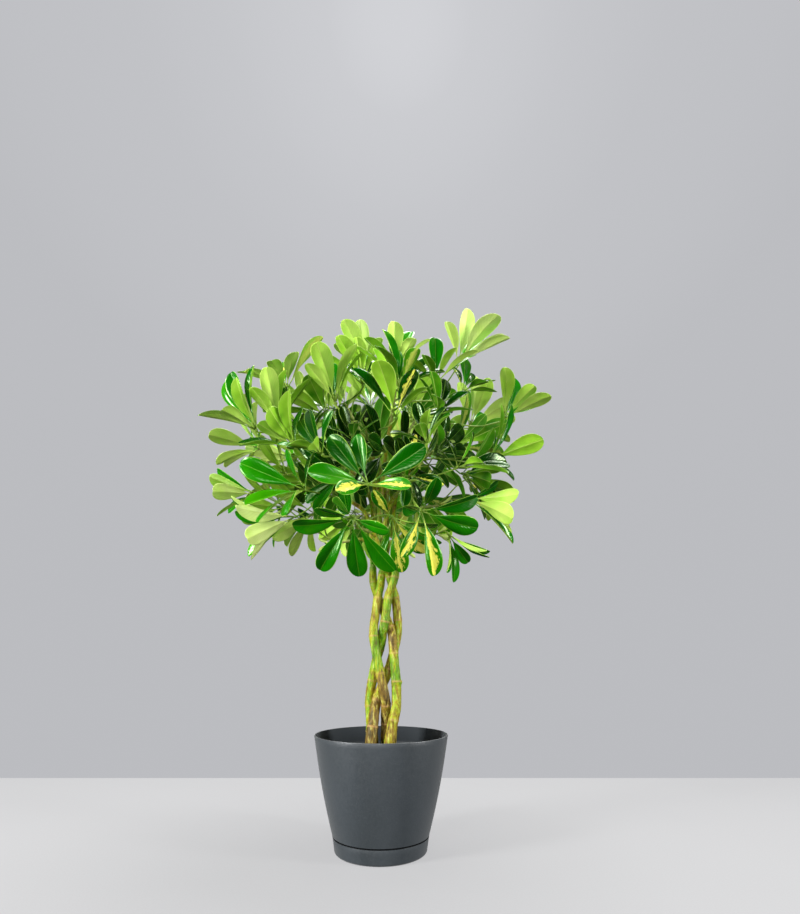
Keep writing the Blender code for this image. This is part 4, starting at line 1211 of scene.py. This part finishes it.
def fine_soil(stems, made):
    """The soil, holed where the stems stand, and the chips that lie on it."""
    rng = random.Random(SEED + 3)
    bottom = FLOOR + WALL + 2 * FIT
    seam = SEAM_HEIGHT + SEAM_GROOVE + WALL
    edge = wall_radius(SOIL_HEIGHT) - WALL - 2 * FIT
    profile = [(0, bottom), (foot_radius(bottom) - WALL - 2 * FIT, bottom)]
    profile.append((foot_radius(SEAM_HEIGHT) - WALL - 2 * FIT, seam))
    for i in range(1, ARC_STEPS + 1):
        z = seam + (SOIL_HEIGHT - seam) * i / ARC_STEPS
        profile.append((wall_radius(z) - WALL - 2 * FIT, z))
    top_starts = 1 + (len(profile) - 1) * SOIL_FINE_SIDES
    profile += [(edge * i / SOIL_FINE_RINGS, SOIL_HEIGHT) for i in range(SOIL_FINE_RINGS - 1, 0, -1)]
    profile.append((0, SOIL_HEIGHT))
    vertices, faces = turned(profile, SOIL_FINE_SIDES)
    for vertex in vertices[top_starts:]:
        vertex.z = soil_level(vertex.x, vertex.y, edge)
    soil = new_object("soil_bed", (vertices, faces), made)
    holes = []
    for route in stems:
        points = [point for point in route if point.z < SOIL_HEIGHT + 3 * STEM_STEP]
        points[0] = points[0] + (points[0] - points[1]).normalized() * FIT
        holes.append(tube(points, [radius_at(point.z) + HOLE_CLEARANCE for point in points], BARK_SIDES))
    soil = combined(soil, holes, "DIFFERENCE")

    shape = Shape()
    vertices = [vertex.co for vertex in soil.data.vertices]
    shape.add(vertices, [tuple(face.vertices) for face in soil.data.polygons], SOIL_MATERIAL)
    bpy.data.objects.remove(soil, do_unlink=True)
    feet = [smooth(route, (SOIL_HEIGHT - route[0].z) / (route[-1].z - route[0].z)) for route in stems]
    work = bmesh.new()
    bmesh.ops.create_icosphere(work, subdivisions=1, radius=1.0)
    pebble = [vertex.co.copy() for vertex in work.verts]
    sides = [tuple(vertex.index for vertex in face.verts) for face in work.faces]
    work.free()
    for _ in range(CHIPS):
        distance = (edge - CHIP_ROOM) * math.sqrt(rng.random())
        angle = rng.uniform(0, 2 * math.pi)
        x, y = distance * math.cos(angle), distance * math.sin(angle)
        if any(math.hypot(x - foot.x, y - foot.y) < radius_at(SOIL_HEIGHT) + CHIP_ROOM for foot in feet):
            continue
        kind = PERLITE_MATERIAL if rng.random() < PERLITE_SHARE else CHIP_MATERIAL
        size = [rng.uniform(*limits) for limits in CHIP_SIZES]
        if kind == PERLITE_MATERIAL:
            size = [size[k] * PERLITE_SIZE for k in (1, 1, 2)]
        turn = Matrix.Rotation(rng.uniform(0, CHIP_TURN), 3, "Z")
        turn = turn @ Matrix.Rotation(rng.uniform(-CHIP_TILT, CHIP_TILT), 3, "X")
        at = Vector((x, y, soil_level(x, y, edge) + size[2] * CHIP_RISE))
        grown = []
        for corner in pebble:
            bent = corner * rng.uniform(*CHIP_CORNERS)
            grown.append(at + turn @ Vector(a * b for a, b in zip(bent, size)))
        shape.add(grown, sides, kind)
    piece = shape.piece("soil_bed")
    piece.data.set_sharp_from_angle(angle=math.radians(SHARP_ANGLE))
    return piece


# The stems


def ringed(points, radii, sides, bumps, rng, last_way=None):
    """A tube whose radius swells at each leaf scar and is a little lumpy in between."""
    vertices, faces = tube(points, radii, sides, last_way)
    shift = Vector(rng.uniform(0, LUMP_SHIFT) for _ in range(3))
    for k, vertex in enumerate(vertices):
        point = points[k // sides]
        lump = noise.noise(vertex * LUMP_SCALE + shift) * LUMPS
        lump += noise.noise(vertex * FINE_LUMP_SCALE + shift) * LUMPS * FINE_LUMPS
        vertices[k] = point + (vertex - point) * (1 + lump + bumps[k // sides])
    return vertices, faces


def near_scar(distance):
    """How strongly a leaf scar shows at this distance along the stem from it."""
    return math.exp(-(distance / SCAR_WIDTH) ** 2)


def fine_stem(number, plan, made):
    """One stem with its limbs: bark with leaf scars, whose tone is blended from scar to scar."""
    rng = random.Random(SEED + 40 + number)
    route = plan.stems[number]
    count = round((route[-1].z - route[0].z) / BARK_STEP)
    points = [smooth(route, i / count) for i in range(count + 1)]
    radii, bumps, marks = [], [], []
    scars = SCARS[number]
    strengths = [rng.uniform(*SCAR_STRENGTHS) for _ in scars]
    for i, point in enumerate(points):
        nearest, k, strength = min((abs(point.z - scar), k, strengths[k]) for k, scar in enumerate(scars))
        blend = 0.5 * math.exp(-nearest / TONE_BLEND)
        own, other = (k + 1, k) if point.z > scars[k] else (k, k + 1)
        tone = TONES[number][own] * (1 - blend) + TONES[number][other] * blend
        waist = WAIST * min(nearest / WAIST_REACH, 1.0)
        bumps.append(SCAR_SWELL * strength * near_scar(nearest) - waist + WAIST / 2)
        end = min(max((route[-1].z - point.z) / radius_at(point.z), 0.0), 1.0)
        radii.append(radius_at(point.z) * max(math.sqrt(1 - (1 - end) ** 2), FORK_END))
        marks.append((point, (tone, strength * near_scar(nearest * SCAR_COLOUR_REACH), 0.0)))
    body = ringed(points, radii, BARK_SIDES, bumps, rng)
    if number == KNOB_STEM:
        for k, vertex in enumerate(body[0]):
            centre = points[min(k // BARK_SIDES, count)]
            out = (vertex - centre).normalized()
            lift = math.exp(-((vertex.z - KNOB_HEIGHT) / KNOB_WIDTH) ** 2) * max(out.x, 0.0) * KNOB_SIZE
            body[0][k] = vertex + out * lift
    stem = new_object(f"stem_{number + 1}_bark", body, made)
    limbs = []
    for owner, limb, shoot in plan.limbs:
        if owner != number:
            continue
        length = sum((b - a).length for a, b in zip(limb, limb[1:]))
        steps = round(length / LIMB_FINE_STEP)
        line = [smooth(limb, i / steps) for i in range(steps + 1)]
        at, rings = 0.0, []
        while at < length:
            at += rng.uniform(*LIMB_SCARS)
            rings.append(at)
        bumps = []
        for i, point in enumerate(line):
            near = min(abs(length * i / steps - ring) for ring in rings)
            bumps.append(SCAR_SWELL * near_scar(near))
            tone = LIMB_TONE - LIMB_TONE_FALL * i / steps
            marks.append((point, (tone, near_scar(near) * LIMB_SCAR_STRENGTH, 0.0)))
        radii = tapered(LIMB_RADIUS, LIMB_END_RADIUS, steps)
        limbs.append(ringed(line, radii, LIMB_FINE_SIDES, bumps, rng, (shoot[1] - shoot[0]).normalized()))
    stem = combined(stem, limbs, "UNION")
    tree = KDTree(len(marks))
    for k, (point, _) in enumerate(marks):
        tree.insert(point, k)
    tree.balance()
    layer = stem.data.attributes.new("blade", "FLOAT_VECTOR", "POINT")
    for k, vertex in enumerate(stem.data.vertices):
        layer.data[k].vector = marks[tree.find(vertex.co)[1]][1]
    stem.data.shade_smooth()
    return placed(stem, [made], "bark", f"stem_{number + 1}")


# The leaves


def more_leaflets(plan, bodies):
    """Leaflets for the gaps of each leaf, some of them nearer to the way that the leaf faces."""
    rng = random.Random(SEED + 5)
    for i, leaf in enumerate(plan.leaves):
        if plan.stalks[i] is None:
            continue
        own = plan.leaflets[i]
        most = MOST_PLACED_LEAFLETS if i < len(PLACED_LEAVES) else MOST_LEAFLETS[i % len(MOST_LEAFLETS)]
        for attempt in range(EXTRA_TRIES):
            if len(own) >= most:
                break
            turns = sorted(leaflet.turn for leaflet in own)
            following = turns[1:] + turns[:1]
            gaps = sorted(((after - turn) % 360 or 360, turn) for turn, after in zip(turns, following))
            gap, turn = gaps[-1 - attempt % min(WIDEST_GAPS, len(gaps))]
            spread = sum(aim.spread for aim in leaf.aims) / len(leaf.aims)
            spread -= rng.uniform(0, EXTRA_LIFT) * (attempt % WIDEST_GAPS)
            length = max(aim.length for aim in leaf.aims) * rng.uniform(*EXTRA_LENGTHS)
            leaflet = leaflet_of(leaf, Aim(turn + gap / 2, spread, length), rng, attempt % TRIES)
            tip = rib_at(leaflet, 1.0, leaflet.length)
            outside = any(not low < value < high for low, value, high in zip(cad_box[0], tip, cad_box[1]))
            if outside or any(turn_between(leaflet, other) < EXTRA_TURN for other in own):
                continue
            body = body_of(blade(leaflet, SOURCE_STATIONS[1:], 0.0), plan.owners[i], None)
            if not touches(body, bodies, alone=True):
                own.append(leaflet)
                bodies.append(body._replace(leaf=i))


STATION = np.array(STATIONS)[:, None]
RING = np.array(ACROSS + ACROSS[-2:0:-1])[None, :]
TOP = np.array([0.0] + [1.0] * (len(ACROSS) - 2) + [0.0] + [-1.0] * (len(ACROSS) - 2))[None, :]
AROUND = RING.size


def leaflet_faces():
    """The faces of a fine leaflet and the material of each."""
    skins = [UPPER_MATERIAL if k < len(ACROSS) - 1 else UNDERSIDE_MATERIAL for k in range(AROUND)]
    faces, kinds = [], []
    for i in range(len(STATIONS) - 1):
        on_stalk = STATIONS[i] < STALK_ENDS_AT
        for k in range(AROUND):
            a, b = i * AROUND + k, i * AROUND + (k + 1) % AROUND
            faces.append((a, b, b + AROUND, a + AROUND))
            kinds.append(STALK_MATERIAL if on_stalk else skins[k])
    last = (len(STATIONS) - 1) * AROUND
    foot, tip = last + AROUND, last + AROUND + 1
    for k in range(AROUND):
        faces += [((k + 1) % AROUND, k, foot), (last + k, last + (k + 1) % AROUND, tip)]
        kinds += [STALK_MATERIAL, skins[k]]
    return faces, kinds


LEAFLET_FACES, LEAFLET_KINDS = leaflet_faces()


def outline_at(leaflet, s):
    """Half the width of a fine blade: broadest past the middle, with a round tip."""
    if s <= LEAFLET_FOOT:
        return FOOT_HALF_WIDTH
    t = (s - LEAFLET_FOOT) / (1 - LEAFLET_FOOT)
    full = leaflet.half_width * max(math.sin(math.pi * t ** FINE_BROADEST), 0.0) ** FINE_ROUNDNESS
    return max(full * step_up(t, *BLADE_WIDENS), FOOT_HALF_WIDTH * (1 - t))


def fine_leaflet(shape, leaflet, tint, rng, folds=FOLDS):
    """A leaflet as one closed skin: rings round it, from a round stalk at its foot to the thin blade."""
    along, face = np.array(leaflet.along), np.array(leaflet.face)
    side = np.cross(along, face)
    arch = math.radians(leaflet.arch)
    fold = math.radians(rng.uniform(*folds))
    twist = math.radians(rng.uniform(-TWIST, TWIST))
    wave = rng.uniform(*WAVES) * leaflet.half_width / USUAL_HALF_WIDTH
    phase = rng.uniform(0, 2 * math.pi)
    curl = rng.uniform(*CURLS)
    scale = min(leaflet.length / USUAL_LENGTH, 1.0)
    half = np.array([outline_at(leaflet, s) for s in STATIONS])[:, None]
    stalk = 1 - step_up(STATION, STALK_ENDS_AT - STALK_BLEND, BLADE_STARTS_AT)
    vee = np.sqrt(RING ** 2 + FOLD_SOFTNESS) - FOLD_DROP
    dome = rng.uniform(*DOMES) * np.sin(np.pi * np.abs(RING)) * np.sin(np.pi * STATION ** DOME_POWER)
    ripple = wave * np.sin(STATION * WAVES_ALONG + phase + RING) * RING ** 2 * np.sin(np.pi * STATION)
    x_blade = half * RING * math.cos(fold)
    lift = half * (math.sin(fold) * vee + dome - curl * RING ** CURL_POWER) + ripple
    thick = BLADE_THICKNESS / 2 * np.sqrt(1 - np.abs(RING) ** EDGE_POWER) * TOP
    rib = np.exp(-(x_blade / MIDRIB_WIDTH) ** 2) * (1 - STATION) ** MIDRIB_FADE
    rib = np.where(TOP < 0, -MIDRIB_DEPTH, -GROOVE_DEPTH) * rib * np.abs(TOP)
    radius = STALKLET_RADIUS * scale
    x = x_blade * (1 - stalk) + radius * np.sin(np.pi / 2 * RING) * stalk
    z = (lift + thick + rib) * (1 - stalk) + radius * np.cos(np.pi / 2 * RING) * TOP * stalk
    turn = twist * STATION ** 2
    x, z = x * np.cos(turn) - z * np.sin(turn), x * np.sin(turn) + z * np.cos(turn)
    bent = arch * STATION
    reach = leaflet.length / arch
    root = np.array(leaflet.root)
    middle = root + along * (np.sin(bent) * reach) - face * ((1 - np.cos(bent)) * reach)
    up = face * np.cos(bent) + along * np.sin(bent)
    points = middle[:, None, :] + side * x[..., None] + up[:, None, :] * z[..., None]
    tip = root + along * (math.sin(arch) * reach) - face * ((1 - math.cos(arch)) * reach)
    vertices = points.reshape(-1, 3).tolist() + [root.tolist(), tip.tolist()]
    along_blade = np.clip((STATION - LEAFLET_FOOT) / (1 - LEAFLET_FOOT), 0, 1) + 0 * RING
    marks = np.stack([along_blade, RING + 0 * STATION, np.abs(x_blade) * 1000], axis=-1)
    marks = marks.reshape(-1, 3).tolist() + [[0.0, 0.0, 0.0], [1.0, 0.0, 0.0]]
    shape.add(vertices, LEAFLET_FACES, list(LEAFLET_KINDS), marks, tint)


def bead(centre, way, radius, length):
    """A small rounded solid on an axis."""
    angles = [math.pi * (BEAD_CUT + (1 - 2 * BEAD_CUT) * i / BEAD_STEPS) for i in range(BEAD_STEPS + 1)]
    points = [centre - way * (length * math.cos(angle)) for angle in angles]
    return tube(points, [radius * math.sin(angle) for angle in angles], BEAD_SIDES)


def lit_and_shaded_tone_at(point):
    """Painted shade and light: leaves are dark inside the crown, as shade and as older leaves, and paler
    towards its outside, its top and its left side, where the light falls.
    """
    offset = point - CROWN_CENTRE
    outness = Vector(offset[k] / (CROWN_RADII[k] + REACH_BEYOND) for k in range(3)).length
    tone = np.interp(outness, *zip(*SHADE_TONES_BY_OUTNESS))
    return tone + TOP_LIGHT_TONE * max(offset.z, 0.0) + SIDE_LIGHT_TONE * offset.x


def fine_shoot(number, plan, materials):
    """One leafy shoot: its twig with a bud of young leaflets, and each leaf's stalk, hub and leaflets."""
    rng = random.Random(SEED + 60 + number)
    shape = Shape()
    twig = plan.limbs[number][2]
    way = (twig[-1] - twig[0]).normalized()
    start = twig[0] - way * TWIG_SINK
    length = (twig[-1] - start).length
    steps = round(length / TWIG_STEP)
    line = [start + way * (length * i / steps) for i in range(steps + 1)]
    bumps = []
    for i in range(steps + 1):
        near = min(abs(length * i / steps - length * share) for share in TWIG_SCARS)
        bumps.append(TWIG_SCAR_SWELL * near_scar(near))
    radii = tapered(SHOOT_RADIUS, SHOOT_TIP_RADIUS, steps)
    shape.add(*ringed(line, radii, TWIG_SIDES, bumps, rng), TWIG_MATERIAL)
    shape.add(*bead(twig[-1], way, SHOOT_TIP_RADIUS, TWIG_END), STALK_MATERIAL)
    bud = Leaf(twig[-1], way, way.orthogonal().normalized(), ())
    for k in range(BUD_LEAFLETS):
        leaflet = leaflet_of(bud, Aim(360 * k / BUD_LEAFLETS, BUD_SPREAD, BUD_REACH), rng, 0)
        fine_leaflet(shape, leaflet, (0.0, BUD_TONE, rng.random()), rng, BUD_FOLDS)
    for i, leaf in enumerate(plan.leaves):
        if plan.owners[i] != number or not plan.stalks[i]:
            continue
        stalk = plan.stalks[i]
        line = [smooth(stalk, k / STALK_FINE_STEPS) for k in range(STALK_FINE_STEPS + 1)]
        line.append(leaf.hub)
        radii = []
        for k in range(len(line)):
            share = k / (len(line) - 1)
            widening = max(1 - share * STALK_BASE_SHARE, 0) * (STALK_BASE_RADIUS - STALK_RADIUS)
            swelling = share ** STALK_TOP_POWER * (STALK_TOP_RADIUS - STALK_RADIUS)
            radii.append(STALK_RADIUS + widening + swelling)
        shape.add(*tube(line, radii, STALK_FINE_SIDES), STALK_MATERIAL)
        hub = leaf.hub - leaf.facing * FINE_HUB_SINK
        shape.add(*bead(hub, leaf.facing, *(HUB_RADIUS * share for share in FINE_HUB_SHARES)), STALK_MATERIAL)
        golden = rng.random() < GOLD_LEAVES
        leaf_tone = rng.uniform(-LEAF_TONE, LEAF_TONE)
        for leaflet in plan.leaflets[i]:
            tip = rib_at(leaflet, 1.0, leaflet.length)
            gold = rng.uniform(*GOLD_AMOUNTS) if golden and rng.random() < GOLD_LEAFLETS else 0.0
            apart = min(math.hypot(tip.x - x / 1000, tip.z - z / 1000) for x, z in GOLD_TIPS)
            if tip.y < 0 and apart < GOLD_TIP_RADIUS:
                gold = rng.uniform(*GOLD_TIP_AMOUNTS)
            # Painted shade and light from where the leaflet sits in the crown, then tone by chance
            tone = leaf_tone + lit_and_shaded_tone_at(smooth([leaf.hub, tip], TONE_PLACE))
            tone += rng.uniform(-LEAFLET_TONE, LEAFLET_TONE)
            fine_leaflet(shape, leaflet, (gold, tone, rng.random()), rng)
    piece = shape.piece(f"shoot_{number + 1:02d}_leaves")
    return placed(piece, materials, "foliage", f"shoot_{number + 1:02d}")


# The studio


def softbox(name, place, target_height, width, height, power):
    lamp = bpy.data.lights.new(name, "AREA")
    lamp.shape = "RECTANGLE"
    lamp.size = width
    lamp.size_y = height
    lamp.energy = power
    made = bpy.data.objects.new(name, lamp)
    made.location = place
    made.rotation_euler = (Vector((0, 0, target_height)) - Vector(place)).to_track_quat("-Z", "Y").to_euler()
    bpy.context.scene.collection.objects.link(made)


def grey_wall():
    """A grey wall all round, paler high up behind the plant. It lights the plant less than it shows."""
    wall = Look("grey wall", bpy.data.worlds)
    way = wall.add("TexCoord", {}, "Generated")
    facing = wall.add("VectorMath", {1: WALL_GLOW_WAY, 0: way}, "Value", operation="DOT_PRODUCT")
    stops = [(share, rgb(*(grey + more for more in WALL_TINT))) for share, grey in WALL_GREYS]
    seen = wall.nodes["Background"]
    wall.put(seen.inputs["Color"], wall.ramp(facing, *stops))
    on_camera = wall.add("LightPath", {}, "Is Camera Ray")
    mirrored = on_camera.node.outputs["Is Glossy Ray"]
    strength = wall.add("MapRange", {"Value": mirrored, "To Min": AMBIENT, "To Max": MIRRORED_AMBIENT})
    ambient = wall.add("Background", {"Color": (1.0, 1.0, 1.0, 1.0), "Strength": strength})
    either = wall.add("MixShader", {0: on_camera, 1: ambient, 2: seen.outputs[0]})
    wall.put(wall.nodes["World Output"].inputs["Surface"], either)
    return wall.made


def studio():
    scene = bpy.context.scene
    scene.view_settings.view_transform = "Standard"
    scene.world = grey_wall()
    for lamp in LAMPS:
        softbox(*lamp)
    corners = [(-FLOOR_SIDE, FLOOR_FRONT, 0), (FLOOR_SIDE, FLOOR_FRONT, 0), (FLOOR_SIDE, FLOOR_BACK, 0),
               (-FLOOR_SIDE, FLOOR_BACK, 0)]
    floor = new_object("floor", (corners, [(0, 1, 2, 3)]), floor_look())
    floor.visible_diffuse = False
    floor.visible_glossy = False
    lens = bpy.data.cameras.new("camera")
    lens.sensor_width = SENSOR
    lens.lens = FOCAL_PIXELS / FRAME_HEIGHT * SENSOR
    lens.shift_y = (HORIZON_PIXEL - FRAME_HEIGHT / 2) / FRAME_HEIGHT
    lens.clip_start = NEAREST_SEEN
    camera = bpy.data.objects.new("camera", lens)
    camera.location = VIEWPOINT
    camera.rotation_euler = (math.radians(90 + CAMERA_TILT), 0, 0)
    scene.collection.objects.link(camera)
    scene.camera = camera


def main():
    plan, bodies = grow_plant()
    more_leaflets(plan, bodies)
    studio()
    plastic = plastic_look("pot plastic")
    placed(fine_pot(plastic), [plastic], "pot", "pot")
    placed(fine_tray(plastic), [plastic], "tray", "tray")
    placed(fine_soil(plan.stems, None), [soil_look(), chip_look(), perlite_look()], "soil", "soil")
    bark = bark_look()
    for number in range(len(plan.stems)):
        fine_stem(number, plan, bark)
    foliage = [leaf_look("leaf upper side", True), leaf_look("leaf underside", False)]
    foliage += [stalk_look(), twig_look()]
    for number in range(len(plan.limbs)):
        fine_shoot(number, plan, foliage)


main()
